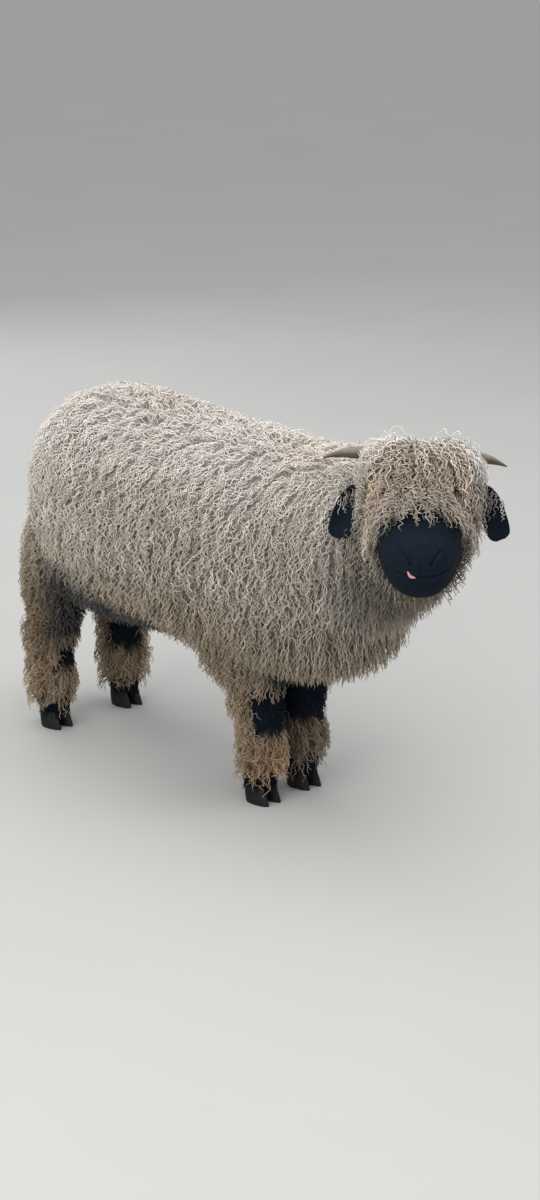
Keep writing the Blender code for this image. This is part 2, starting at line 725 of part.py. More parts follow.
def inside(tree, place, margin=0.0):
    """Whether a place lies more than margin under a closed form's surface, or less than -margin over it."""
    near, normal = tree.find_nearest(place)[:2]
    return (place - near).dot(normal) < -margin


def make_locks():
    """Every lock of the coat. None is rooted in another form, under the belly or on short hair."""
    rng = np.random.default_rng(SEED)
    solids = {"torso": torso_form, "neck": neck_form, "crown": crown_form, "tail": tail_form}
    trees = {kind: BVHTree.FromBMesh(form()) for kind, form in solids.items()}
    trees["face"] = BVHTree.FromBMesh(head_form())
    legs = {name: BVHTree.FromBMesh(leg_form(name)) for name in FEET}
    locks = []
    for kind, form in solids.items():
        others = [tree for name, tree in trees.items() if name != kind]
        others += list(legs.values()) if kind != "torso" else []

        def bare(place, normal):
            return normal.z < UNDERSIDE or any(inside(tree, place) for tree in others)

        locks += grow_locks(kind, form(), bare, rng)
    for name in FEET:

        def bare(place, normal):
            short = wool_at(name, place.z - WOOL_HANG) < 0.5 or place.z < LOWEST_LOCK
            return short or abs(normal.z) > -UNDERSIDE or inside(trees["torso"], place, LEG_OVERLAP)

        locks += grow_locks("leg", leg_form(name), bare, rng)
    return locks


def part_of(whole, name, look):
    """A copy of the whole animal, to be cut down to one of its parts."""
    made = whole.copy()
    made.data = whole.data.copy()
    made.name = name
    bpy.context.scene.collection.objects.link(made)
    made.data.materials.clear()
    made.data.materials.append(look)
    return made


def trim(part, keep=None, remove=()):
    """Cuts a part with closed forms and drops what comes loose."""
    if keep:
        combine(part, [keep], "INTERSECT")
    if remove:
        combine(part, list(remove), "DIFFERENCE")
    keep_largest(part)


def mark(part, look, where):
    """Gives a second look to the faces whose middle passes a test."""
    part.data.materials.append(look)
    for face in part.data.polygons:
        if where(Vector(face.center)):
            face.material_index = 1


def make_whole(skin):
    """The whole coat and flesh as one closed body."""
    cores = {"neck": neck_form, "crown": crown_form, "tail": tail_form}
    forms = [head_form()] + [form(COAT[kind][0]) for kind, form in cores.items()]
    forms += [leg_form(name, COAT["leg"][0]) for name in FEET]
    forms += [lip_form(skin, shift) for shift in (LIP_SHIFT, -LIP_SHIFT)]
    forms += [nostril_form(flank, skin, NOSTRIL_RIM, -NOSTRIL_RIM) for flank in SIDES]
    forms += [lid_form(flank) for flank in SIDES]
    forms += make_locks()
    whole = add_object("whole", torso_form(COAT["torso"][0]))
    combine(whole, forms, "UNION")
    keep_largest(whole)
    return whole


def make_body(looks):
    """The body's parts, with thin cuts between them."""
    skin = BVHTree.FromBMesh(head_form())
    whole = make_whole(skin)

    torso = part_of(whole, "torso", looks["wool"])
    blocks = [leg_block(name, GAP) for name in FEET] + [tail_block(GAP)]
    trim(torso, remove=[slab(SHOULDER_POINT, SHOULDER_WAY)] + blocks)

    limbs = [swell(form(flank)) for flank in SIDES for form in (ear_form, horn_form)]
    neck = part_of(whole, "neck", looks["wool"])
    trim(neck, slab(SHOULDER_POINT + SHOULDER_WAY * GAP, SHOULDER_WAY), [head_block(GAP)] + limbs)

    carved = [mouth_cut(skin), swell(tongue_form(skin))]
    for flank in SIDES:
        carved += [swell(form(flank)) for form in (ear_form, horn_form, eye_form)]
        carved += [eye_opening(flank), nostril_form(flank, skin)]
    head = part_of(whole, "head", looks["black_hair"])
    trim(head, head_block(), carved)
    mark(head, looks["wool"], lambda place: not inside(skin, place, -SHORT_HAIR))

    for name in FEET:
        leg = part_of(whole, "leg_" + name, looks["wool"])
        trim(leg, leg_block(name))
        mark(leg, looks["black_hair"], lambda place: wool_at(name, place.z) < 0.5)
    trim(part_of(whole, "tail", looks["wool"]), tail_block())
    bpy.data.objects.remove(whole, do_unlink=True)
    add_object("tongue", tongue_form(skin), looks["tongue"])


def stand_on_origin():
    """Hangs every node from an empty so that the origin is under the middle of the whole."""
    nodes = [item for item in bpy.data.objects if item.type == "MESH"]
    bpy.context.view_layer.update()
    places = np.vstack([[vert.co for vert in item.data.vertices] for item in nodes])
    middle = (places.min(axis=0) + places.max(axis=0)) / 2
    stand = bpy.data.objects.new("stand_point", None)
    stand.location = (-middle[0], -middle[1], 0.0)
    bpy.context.scene.collection.objects.link(stand)
    for item in nodes:
        item.parent = stand
        item.data.shade_smooth()
        item.data.set_sharp_from_angle(angle=math.radians(40))


def main():
    clear_scene()
    looks = {
        "wool": paint("wool", (0.62, 0.53, 0.42), 0.9),
        "black_hair": paint("black_hair", (0.02, 0.02, 0.024), 0.8),
        "horn": paint("horn", (0.55, 0.43, 0.26), 0.5),
        "hoof": paint("hoof", (0.05, 0.045, 0.04), 0.5),
        "eye": paint("eye", (0.03, 0.02, 0.012), 0.1),
        "tongue": paint("tongue", (0.55, 0.27, 0.27), 0.4),
    }
    make_body(looks)
    for name in FEET:
        for half, word in ((-1, "inner"), (1, "outer")):
            facing_out = half if name.endswith("left") else -half
            add_object(f"claw_{name}_{word}", claw_form(name, facing_out), looks["hoof"])
    for flank in SIDES:
        add_object("ear_" + flank, ear_form(flank), looks["black_hair"])
        add_object("horn_" + flank, horn_form(flank), looks["horn"])
        add_object("eye_" + flank, eye_form(flank), looks["eye"])
    stand_on_origin()


main()
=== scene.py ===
"""Valais Blacknose ewe in full fleece, standing with her head turned to her right.

Her own axes: she faces -Y, her left side is +X and the floor is z = 0. Places and sizes are metres in those
axes, tables of sections are millimetres, and main() shifts every finished piece to where the frame has her.
"""

import math
from contextlib import contextmanager
from dataclasses import dataclass
from itertools import product

import bmesh
import bpy
import numpy as np
from mathutils import Matrix, Vector, kdtree, noise
from mathutils.bvhtree import BVHTree

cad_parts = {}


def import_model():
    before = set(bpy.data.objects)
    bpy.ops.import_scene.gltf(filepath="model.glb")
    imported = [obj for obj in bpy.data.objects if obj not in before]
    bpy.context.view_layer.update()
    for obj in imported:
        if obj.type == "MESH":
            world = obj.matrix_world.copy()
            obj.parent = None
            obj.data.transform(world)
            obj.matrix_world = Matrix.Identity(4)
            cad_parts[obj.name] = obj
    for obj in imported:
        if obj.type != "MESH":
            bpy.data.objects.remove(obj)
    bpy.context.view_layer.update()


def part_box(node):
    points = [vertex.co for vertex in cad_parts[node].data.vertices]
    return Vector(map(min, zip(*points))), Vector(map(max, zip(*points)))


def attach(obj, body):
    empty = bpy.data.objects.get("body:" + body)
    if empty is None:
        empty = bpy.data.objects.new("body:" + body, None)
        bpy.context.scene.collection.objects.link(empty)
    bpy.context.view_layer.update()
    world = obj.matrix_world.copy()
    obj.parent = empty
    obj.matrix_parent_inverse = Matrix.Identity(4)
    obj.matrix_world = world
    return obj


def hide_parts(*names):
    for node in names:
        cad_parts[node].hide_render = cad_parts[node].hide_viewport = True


SEED = 7
X, Y, Z = Vector((1, 0, 0)), Vector((0, 1, 0)), Vector((0, 0, 1))
SIDES = {"right": -1.0, "left": 1.0}

# Head: local x is to her left, y out of the brow, z along the muzzle. The poll is its origin.
POLL = Vector((-0.047, -0.7725, 0.822))
HEAD_TURN, HEAD_PITCH = math.radians(46.0), math.radians(14.0)
FACING = Vector((-math.sin(HEAD_TURN), -math.cos(HEAD_TURN), 0.0))
HEAD_SIDE = Vector((math.cos(HEAD_TURN), -math.sin(HEAD_TURN), 0.0))
MUZZLE_WAY = FACING * math.cos(HEAD_PITCH) - Z * math.sin(HEAD_PITCH)
BROW_WAY = MUZZLE_WAY.cross(HEAD_SIDE)
HEAD_FRAME = Matrix((HEAD_SIDE, BROW_WAY, MUZZLE_WAY)).transposed().to_4x4()
HEAD_FRAME.translation = POLL

# Flesh, as sections under the wool: place along the form, middle (across, up or forward) and half sizes.
TRUNK = (                     # y, middle z, half width, half height
    (-607, 510, 20, 30),
    (-598, 510, 66, 68),
    (-555, 520, 150, 167),
    (-450, 544, 194, 216),
    (-300, 556, 212, 223),
    (-120, 560, 219, 220),
    (50, 557, 218, 237),
    (170, 558, 202, 246),
    (260, 568, 176, 222),
    (332, 564, 134, 174),
    (364, 542, 80, 120),
    (374, 540, 20, 40),
)
NECK = (                      # y, middle x, middle z, half width, half height
    (-340, 0, 566, 150, 150),
    (-400, 0, 574, 186, 190),
    (-470, 2, 590, 184, 194),
    (-560, 6, 610, 168, 182),
    (-640, 6, 634, 148, 158),
    (-710, -6, 664, 122, 130),
    (-760, -26, 690, 94, 100),
    (-790, -40, 704, 40, 46),
)
FORE_LEG = (                  # height, half width, half length, outwards, forward
    (40, 30, 34, 0, 0),
    (56, 32, 36, 0, 0),
    (78, 31, 34, 0, 1),
    (105, 36, 40, 0, 2),
    (150, 37, 42, 0, 3),
    (180, 38, 43, 0, 4),
    (205, 42, 47, 0, 4),
    (245, 44, 58, 4, -4),
    (290, 52, 88, 12, -22),
    (340, 60, 106, 22, -32),
    (420, 50, 80, 36, -30),
)
HIND_LEG = (
    (40, 30, 34, 0, 0),
    (56, 32, 36, 0, 0),
    (78, 32, 35, 0, 0),
    (110, 40, 43, 0, 0),
    (150, 42, 45, 0, 0),
    (200, 43, 48, 0, 0),
    (240, 46, 55, 2, 6),
    (300, 52, 67, 4, 20),
    (350, 59, 79, 6, 34),
    (420, 63, 91, 0, 50),
    (500, 66, 92, -6, 62),
    (570, 40, 65, -20, 75),
)
TAIL = (                      # height, half width, half depth, middle y
    (735, 12, 14, 330),
    (715, 26, 22, 348),
    (660, 32, 23, 392),
    (560, 34, 24, 412),
    (460, 29, 20, 412),
    (390, 18, 12, 404),
    (376, 6, 5, 402),
)
HEAD = (                      # along, half width, throat, brow
    (-66, 20, -76, -40),
    (-50, 46, -92, -20),
    (-15, 64, -134, 0),
    (38, 75, -165, 4),
    (85, 80, -178, 0),
    (125, 81, -176, -6),
    (163, 77, -174, -14),
    (197, 70, -168, -22),
    (226, 59, -159, -32),
    (245, 45, -145, -46),
    (256, 26, -119, -66),
    (259, 8, -98, -80),
)
BROW_RIDGE = ((62, 46, -19, 9), (82, 56, -18, 11.5), (102, 60, -24, 10.5), (120, 58, -33, 7))   # last: radius
CHEEK_BONE = ((70, 60, -84, 14), (110, 68, -88, 16.5), (150, 64, -96, 14.5), (180, 56, -100, 10))
FEET = {                      # where each foot stands, in metres
    "fore_right": (-0.066, -0.340),
    "fore_left": (0.062, -0.335),
    "hind_right": (-0.107, 0.330),
    "hind_left": (0.107, 0.330),
}
CORONET = 0.040               # height of the top of the claws
CROWN_CENTRE, CROWN_REACH = (0.0, -0.030, 0.012), (0.099, 0.081, 0.088)     # across, brow, along
CROWN_POWER = 2.7
VOXEL_BODY, VOXEL_HEAD = 0.0080, 0.0023
LAID = Matrix(((1, 0, 0, 0), (0, 0, 1, 0), (0, 1, 0, 0), (0, 0, 0, 1)))     # up becomes back, forward up

# Features of the face, in the head's own axes (along, side, brow).
EYE_AT = (0.098, 0.0615, -0.041)
EYE_RADIUS, LID = 0.0125, 0.0030
EYE_WAY = (0.30, 0.86, 0.30)
EYE_OPENING = (0.0110, 0.0066)
EYE_SLOT = ((0.4, 0.0, 0.94, 0.9), (1.0, LID, 1.04, 1.06), (2.4, 0.0, 1.4, 1.7))    # radii out, plus, sizes
MOUTH_CENTRE = (0.172, -0.096)
MOUTH_SPREAD = math.radians(82)
LIP_SHIFT, LIP_SINK, LIP_RADIUS = 0.0054, 0.0032, 0.0058
NOSTRIL_AT = (0.275, 0.020, -0.070)
NOSTRIL_LONG, RIM_SINK, RIM_RADIUS = 0.019, 0.0046, 0.0082
MUZZLE_TIP = 0.258
TONGUE_SIDE, TONGUE_SIZE = -0.018, (0.0105, 0.0085, 0.0032)
MOUTH_DENT, NOSTRIL_DENT = (0.0042, 0.0030), (0.0080, 0.0040)               # depth, width of each crease
LID_DENT, LIP_DENT = (0.0016, 0.0024), (0.0022, 0.0019)


def in_head(along, side, brow):
    """A place given in the head's own axes."""
    return HEAD_FRAME @ Vector((side, brow, along))


def head_way(along, side, brow):
    return MUZZLE_WAY * along + HEAD_SIDE * side + BROW_WAY * brow


def on_side(spot, flank):
    """A place on one side of the head, from (along, side, brow)."""
    along, side, brow = spot
    return in_head(along, side * SIDES[flank], brow)


# Hand tools


def only(piece):
    """Selects one piece and nothing else."""
    bpy.ops.object.select_all(action="DESELECT")
    bpy.context.view_layer.objects.active = piece
    piece.select_set(True)


@contextmanager
def editing(piece):
    """Edit mode, with the whole mesh selected at first."""
    only(piece)
    bpy.ops.object.mode_set(mode="EDIT")
    bpy.ops.mesh.select_all(action="SELECT")
    yield
    bpy.ops.object.mode_set(mode="OBJECT")


def start(name, add, **how):
    """A new piece, from one of the tools that add a simple form."""
    bpy.ops.object.select_all(action="DESELECT")
    add(**how)
    piece = bpy.context.object
    piece.name = piece.data.name = name
    return piece


def apply_all(piece):
    only(piece)
    for modifier in list(piece.modifiers):
        bpy.ops.object.modifier_apply(modifier=modifier.name)


def settle(piece, place):
    """Leaves the piece at the origin with its place in its mesh."""
    piece.matrix_world = place
    only(piece)
    bpy.ops.object.transform_apply(location=True, rotation=True, scale=True)
    return piece


def join(pieces, name):
    only(pieces[0])
    for piece in pieces[1:]:
        piece.select_set(True)
    bpy.ops.object.join()
    pieces[0].name = pieces[0].data.name = name
    return pieces[0]


def dress(piece, look):
    """Smooth shading and a material."""
    only(piece)
    bpy.ops.object.shade_smooth()
    piece.data.materials.append(look)
    return piece


def smooth_rows(rows, count):
    """Rows in metres, along a Catmull-Rom curve through rows in millimetres."""
    rows = np.array(rows, float) / 1000
    padded = np.vstack([2 * rows[0] - rows[1], rows, 2 * rows[-1] - rows[-2]])
    made = []
    for at in np.linspace(0, len(rows) - 1, count):
        k = min(int(at), len(rows) - 2)
        t = at - k
        a, b, c, d = padded[k:k + 4]
        made.append(0.5 * (2 * b + (c - a) * t + (2 * a - 5 * b + 4 * c - d) * t * t
                           + (3 * b - 3 * c + d - a) * t ** 3))
    return made


def squarer(value, power):
    """Moves a number from -1 to 1 outwards, so that a circle of power 2 becomes squarer."""
    return math.copysign(abs(value) ** (2 / power), value)


def draw_up(name, sections, sides=32, power=2.0):
    """A closed form up through level sections (height, x, y, half x, half y), extruded from a round face."""
    piece = start(name, bpy.ops.mesh.primitive_circle_add, vertices=sides, radius=1.0, fill_type="NGON")
    for vert in piece.data.vertices:
        vert.co.x, vert.co.y = squarer(vert.co.x, power), squarer(vert.co.y, power)
    height, x, y, wide, deep = (float(value) for value in sections[0])
    with editing(piece):
        bpy.ops.transform.resize(value=(wide, deep, 1), center_override=(0, 0, 0))
        bpy.ops.transform.translate(value=(x, y, height))
        for section in sections[1:]:
            to_height, to_x, to_y, to_wide, to_deep = (float(value) for value in section)
            bpy.ops.mesh.extrude_region_move(
                TRANSFORM_OT_translate={"value": (to_x - x, to_y - y, to_height - height)})
            bpy.ops.transform.resize(value=(to_wide / wide, to_deep / deep, 1),
                                     center_override=(to_x, to_y, to_height))
            height, x, y, wide, deep = to_height, to_x, to_y, to_wide, to_deep
    fix_outside(piece)
    return piece


def ball(name, sizes, place=Matrix.Identity(4), segments=32):
    piece = start(name, bpy.ops.mesh.primitive_uv_sphere_add, segments=segments, ring_count=segments // 2,
                  radius=1.0)
    put_in_order(piece)
    return settle(piece, place @ Matrix.Diagonal((*sizes, 1.0)))


def rope(name, points, radii, resolution=3):
    """A closed round form along points with a radius at each, from a bevelled curve."""
    line = bpy.data.curves.new(name, "CURVE")
    line.dimensions = "3D"
    line.bevel_depth = 1.0
    line.bevel_resolution = resolution
    line.use_fill_caps = True
    spline = line.splines.new("POLY")
    spline.points.add(len(points) - 1)
    for knot, point, radius in zip(spline.points, points, radii):
        knot.co = (*point, 1.0)
        knot.radius = radius
    piece = bpy.data.objects.new(name, line)
    bpy.context.scene.collection.objects.link(piece)
    only(piece)
    bpy.ops.object.convert(target="MESH")
    piece = bpy.context.object
    with editing(piece):
        bpy.ops.mesh.remove_doubles(threshold=0.00001)
        bpy.ops.mesh.normals_make_consistent(inside=False)
    return piece


def remesh(piece, voxel, rounds):
    """One even closed skin round all that the piece holds, smoothed."""
    wrap = piece.modifiers.new("wrap", "REMESH")
    wrap.mode = "VOXEL"
    wrap.voxel_size = voxel
    soften = piece.modifiers.new("soften", "SMOOTH")
    soften.factor = 0.5
    soften.iterations = rounds
    apply_all(piece)
    fix_outside(piece)
    return piece


def fix_outside(piece):
    with editing(piece):
        bpy.ops.mesh.normals_make_consistent(inside=False)


def put_in_order(piece):
    """Puts the faces in the order of their corners, because the spheres and Booleans leave any order."""
    places = [vert.co[:] for vert in piece.data.vertices]
    faces = []
    for face in piece.data.polygons:
        corners = face.vertices[:]
        first = corners.index(min(corners))
        faces.append(corners[first:] + corners[:first])
    piece.data.clear_geometry()
    piece.data.from_pydata(places, [], sorted(faces))


def carve(piece, cutters, operation="DIFFERENCE"):
    """Cuts or fuses closed pieces into one, then removes them."""
    for cutter in cutters:
        cut = piece.modifiers.new("cut", "BOOLEAN")
        cut.object = cutter
        cut.operation = operation
        cut.solver = "MANIFOLD"
        apply_all(piece)
        put_in_order(piece)
        bpy.data.objects.remove(cutter, do_unlink=True)
    return piece


def tree_of(piece):
    return BVHTree.FromPolygons([vert.co for vert in piece.data.vertices],
                                [face.vertices[:] for face in piece.data.polygons])


def read(items, key, width, kind=float):
    """Width numbers for each item of a mesh, as rows."""
    found = np.empty(len(items) * width, kind)
    items.foreach_get(key, found)
    return found.reshape(-1, width)


def rise(value, low, high):
    """0 below low, 1 above high and smooth between, for numbers or arrays."""
    share = np.clip((np.asarray(value, float) - low) / (high - low), 0, 1)
    return share * share * (3 - 2 * share)


# Flesh


def body_form():
    """Everything behind the head, in one skin."""
    trunk = [(y, 0.0, z, wide, high) for y, z, wide, high in smooth_rows(TRUNK, 34)]
    tail = [(z, 0.0, y, wide, deep) for z, wide, deep, y in smooth_rows(TAIL, 20)]
    forms = [settle(draw_up("trunk", trunk, 40, 2.35), LAID),
             settle(draw_up("neck", smooth_rows(NECK, 20), 36), LAID), draw_up("tail", tail, 20)]
    for name, (foot_x, foot_y) in FEET.items():
        kind, flank = name.split("_")
        rows = smooth_rows(FORE_LEG if kind == "fore" else HIND_LEG, 30)
        leg = [(height, foot_x + SIDES[flank] * out, foot_y - ahead, wide, long)
               for height, wide, long, out, ahead in rows]
        forms.append(draw_up("leg_" + name, leg, 24, 2.2))
    return remesh(join(forms, "body"), VOXEL_BODY, 10)


def mouth_points(tree, count=25):
    """Places on the skin along the mouth, from her right corner to her left, and their outward ways."""
    along, brow = MOUTH_CENTRE
    start_at = in_head(along, 0.0, brow)
    ways = [head_way(math.cos(turn), math.sin(turn), 0.34 * (1 - math.cos(turn))).normalized()
            for turn in np.linspace(-MOUTH_SPREAD, MOUTH_SPREAD, count)]
    return [tree.ray_cast(start_at, way)[0] for way in ways], ways


def nostril_points(tree, flank, count=9):
    """The comma that a nostril follows, from beside the lip up and outwards: places and normals."""
    along, side, brow = NOSTRIL_AT
    found = []
    for share in np.linspace(0, 1, count):
        length = NOSTRIL_LONG * share
        before = in_head(along, (side + length * (0.35 + 0.55 * share)) * SIDES[flank], brow + length * 0.95)
        found.append(tree.ray_cast(before, -MUZZLE_WAY)[:2])
    return tuple(zip(*found))


def eye_frame(flank):
    """The eye's own axes: x along the lids, y up between them, z out of the pupil."""
    way = head_way(EYE_WAY[0], EYE_WAY[1] * SIDES[flank], EYE_WAY[2]).normalized()
    tall = (BROW_WAY - way * BROW_WAY.dot(way)).normalized()
    made = Matrix((tall.cross(way), tall, way)).transposed().to_4x4()
    made.translation = on_side(EYE_AT, flank)
    return made


def skull_form():
    sections = [(along, 0.0, (throat + brow) / 2, wide, (brow - throat) / 2)
                for along, wide, throat, brow in smooth_rows(HEAD, 34)]
    return settle(draw_up("skull", sections, 48, 2.2), HEAD_FRAME)


def crown_mound():
    """What carries the wool between the horns: a ball, squarer seen from the front."""
    piece = ball("crown", (1, 1, 1), segments=40)
    for vert in piece.data.vertices:
        reach = math.hypot(vert.co.x, vert.co.y) or 1.0
        for axis in (0, 1):
            vert.co[axis] = reach * squarer(vert.co[axis] / reach, CROWN_POWER)
    return settle(piece, HEAD_FRAME @ Matrix.Translation(CROWN_CENTRE) @ Matrix.Diagonal((*CROWN_REACH, 1.0)))


def head_form():
    """Skull, lips, lids, cheeks and the core of the wool on the crown, in one skin."""
    skull = skull_form()
    tree = tree_of(skull)
    mouth, ways = mouth_points(tree)
    forms = [skull, crown_mound()]
    for shift in (LIP_SHIFT, -LIP_SHIFT):
        bow = np.linspace(-1, 1, len(mouth))
        line = [place - way * LIP_SINK + BROW_WAY * shift for place, way in zip(mouth, ways)]
        forms.append(rope("lip", line, [LIP_RADIUS * (1 - 0.5 * b * b) for b in bow]))
    for flank, sign in SIDES.items():
        points, normals = nostril_points(tree, flank)
        rim = [place - normal * RIM_SINK for place, normal in zip(points, normals)]
        forms.append(rope("nostril_rim", rim, RIM_RADIUS * np.linspace(1, 0.6, len(rim))))
        forms.append(ball("lids", (EYE_RADIUS + LID,) * 3, Matrix.Translation(on_side(EYE_AT, flank)), 24))
        for name, rows in (("brow_ridge", BROW_RIDGE), ("cheek", CHEEK_BONE)):
            line = [in_head(along / 1000, side * sign / 1000, up / 1000) for along, side, up, _ in rows]
            forms.append(rope(name, line, [row[3] / 1000 for row in rows]))
    piece = remesh(join(forms, "head_skin"), VOXEL_HEAD, 7)
    crease_face(piece, mouth)
    return piece


def crease_face(piece, mouth):
    """Presses the mouth line, the nostrils and the folds over the eyes into the skin."""
    tree = tree_of(piece)
    marks = [(a.lerp(b, t), *MOUTH_DENT) for a, b in zip(mouth, mouth[1:]) for t in (0.0, 0.25, 0.5, 0.75)]
    for flank in SIDES:
        points, _ = nostril_points(tree, flank, 17)
        depth, width = NOSTRIL_DENT
        marks += [(place, depth * (1 - 0.45 * share), width * (1 - 0.35 * share))
                  for place, share in zip(points, np.linspace(0, 1, len(points)))]
        frame = eye_frame(flank)
        for turn in np.linspace(math.radians(20), math.radians(160), 15):
            fold = frame @ Vector((0.0185 * math.cos(turn), 0.0150 * math.sin(turn) + 0.002, 0.030))
            marks.append((tree.find_nearest(fold)[0], *LID_DENT))
    line = kdtree.KDTree(len(marks))
    for k, mark in enumerate(marks):
        line.insert(mark[0], k)
    line.balance()
    mesh = piece.data
    normals = [vert.normal.copy() for vert in mesh.vertices]
    for vert, normal in zip(mesh.vertices, normals):
        _, k, gap = line.find(vert.co)
        depth, width = marks[k][1:]
        if gap < width * 3:
            vert.co -= normal * (depth * math.exp(-(gap / width) ** 2))
    # The groove from the upper lip up between the nostrils.
    groove = [tree.ray_cast(in_head(0.30, 0.0, brow), -MUZZLE_WAY)[0]
              for brow in np.linspace(-0.089, -0.070, 8)]
    depth, width = LIP_DENT
    for vert, normal in zip(mesh.vertices, normals):
        if (vert.co - groove[0]).length < 0.04:
            gap = min((vert.co - place).length for place in groove)
            if gap < 0.006:
                vert.co -= normal * (depth * math.exp(-(gap / width) ** 2))
    mesh.update()


def cut_eyes(piece):
    """Opens the lids over each eyeball."""
    cutters = []
    for flank in SIDES:
        frame = eye_frame(flank)
        cutters.append(ball("socket", (EYE_RADIUS + 0.0004,) * 3, frame))
        slot = [(EYE_RADIUS * radii + more, 0, 0, EYE_OPENING[0] * wide, EYE_OPENING[1] * high)
                for radii, more, wide, high in EYE_SLOT]
        cutters.append(settle(draw_up("slot", slot, 28, 1.7), frame))
    return carve(piece, cutters)


def make_skin():
    """The whole animal's skin in one piece."""
    head = cut_eyes(head_form())
    skin = carve(body_form(), [head], "UNION")
    skin.name = skin.data.name = "skin"
    unwrap(skin)
    return skin


def unwrap(piece):
    """Lays a surface out flat on its OFBake map and shades it smooth."""
    for layer in list(piece.data.uv_layers):
        piece.data.uv_layers.remove(layer)
    with editing(piece):
        bpy.ops.mesh.remove_doubles(threshold=0.00005)
        bpy.ops.uv.smart_project(angle_limit=math.radians(66), island_margin=0.002)
    bpy.ops.object.shade_smooth()
    piece.data.uv_layers[0].name = "OFBake"


# Markings, the same for skin and coat

BACK, FLANK, LOWER = (0.73, 0.69, 0.65), (0.62, 0.575, 0.505), (0.345, 0.285, 0.20)
CROWN_WHITE, FORELOCK, CHEEK = (0.84, 0.83, 0.81), (0.64, 0.52, 0.41), (0.31, 0.27, 0.225)
# The second colour here is painted shade: near black, under the belly, inside the thighs and between the
# forelegs.
LEG_WOOL, UNDER_SHADE, STAIN = (0.36, 0.265, 0.165), (0.012, 0.014, 0.015), (0.50, 0.30, 0.15)
SOILED, HAUNCH_SOIL = np.array([0.84, 0.73, 0.58]), np.array([0.22, 0.26, 0.32])
BLACK = np.array([0.0054, 0.0098, 0.0178])
SKIN_SHADE = 0.48             # painted shade: how much darker the skin is drawn than the wool over it, as deep in the fleece
BELLY_EDGE = ((-0.20, -0.05, 0.13, 0.20), (0.350, 0.405, 0.435, 0.455))     # y, top of the painted shade under the belly
THIGH_EDGE = ((0.24, 0.30, 0.35, 0.42, 0.50), (0.324, 0.310, 0.296, 0.280, 0.268))   # height, y
FACE_EDGE = ((-0.190, -0.150, -0.075, -0.035, -0.012), (0.140, 0.110, 0.092, 0.092, 0.122))     # brow, along


def head_axes(places):
    """Side, brow and along of places in the head's own axes."""
    turned = (places - np.array(POLL)) @ np.array([HEAD_SIDE, BROW_WAY, MUZZLE_WAY]).T
    return turned[..., 0], turned[..., 1], turned[..., 2]


def crown_depth(places):
    """1 on the wool of the crown, 0 in its middle and more than 1 outside it."""
    side, brow, along = head_axes(places)
    across = (np.abs(side / 0.133) ** 2.6 + np.abs((brow + 0.031) / 0.102) ** 2.6) ** (1 / 1.3)
    return np.sqrt(across + ((along - 0.026) / 0.112) ** 2)


def face_limit(brow):
    """How far along the head the wool ends and the short black hair begins."""
    return np.interp(brow, *FACE_EDGE)


def ripple(places):
    """Uneven numbers from about -1 to 1, changing over some 20 mm and over some 8 mm."""
    x, y, z = places[..., 0], places[..., 1], places[..., 2]
    fine = np.sin(710 * x + 330 * z) * np.sin(640 * y - 290 * z) * 0.45
    broad = np.sin(190 * x + 70 * z) * np.sin(170 * y + 50 * x) * 0.5
    return broad + np.sin(150 * z + 210 * y - 90 * x) * 0.35 + fine


def leg_share(places):
    """How much places on the legs face forwards and inwards, from 0 to 1, and whether they are fore legs."""
    x, y, height = places[..., 0], places[..., 1], places[..., 2]
    fore = y < 0
    flank = np.where(x < 0, -1.0, 1.0)
    ahead = np.where(fore, np.interp(height, (0.20, 0.245, 0.29), (0.004, -0.004, -0.022)),
                     np.interp(height, (0.20, 0.24, 0.30), (0.0, 0.006, 0.020)))
    off_x, off_y = x - np.where(fore, 0.064, 0.107) * flank, y - np.where(fore, -0.3375, 0.330) + ahead
    reach = np.maximum(np.hypot(off_x, off_y), 1e-6)
    turned = (-0.50 * flank * off_x - 0.866 * off_y) / reach + 0.32 * ripple(places)
    return rise(turned, np.where(fore, -0.22, 0.25), np.where(fore, 0.12, 0.60)), fore


def black_share(places):
    """1 on the black face, knees, hocks and feet, 0 on wool."""
    side, brow, along = head_axes(places)
    near = (np.abs(side) < 0.11) & (brow > -0.215) & (along < 0.31)
    face = rise(along - face_limit(brow), -0.006, 0.008) * near
    front, fore = leg_share(places)
    height = places[..., 2] + 0.015 * ripple(places)
    inner = (places[..., 0] > 0) & ~fore
    hock_top = 1 - rise(height, np.where(inner, 0.27, 0.235), np.where(inner, 0.29, 0.255))
    knee = np.where(fore, rise(height, 0.160, 0.176) * (1 - rise(height, 0.262, 0.285)),
                    rise(height, 0.146, 0.162) * hock_top)
    foot = 1 - rise(height, 0.070, 0.084)
    return np.maximum(face, np.maximum(knee * front, foot) * (height < 0.30))


def blend(a, b, share):
    """From colours a to colours b, by a share at each place."""
    return np.asarray(a) * (1 - share[..., None]) + np.asarray(b) * share[..., None]


def belly_shade(places):
    """1 where the wool under the belly and inside the thighs is darkened: painted shade, with some dirt."""
    x, y, height = places[..., 0], places[..., 1], places[..., 2]
    edge = height - np.interp(y, *BELLY_EDGE) + 0.008 * ripple(places)
    under = (1 - rise(edge, -0.025, 0.025)) * (height > 0.24) * rise(y, -0.24, -0.12)
    under = under * (1 - rise(y, 0.30, 0.36))
    front_half = 1 - rise(y - np.interp(height, *THIGH_EDGE), -0.070, 0.010)
    return under * np.where(y > 0.20, np.maximum(front_half, 1 - rise(np.abs(x), 0.07, 0.12)), 1.0)


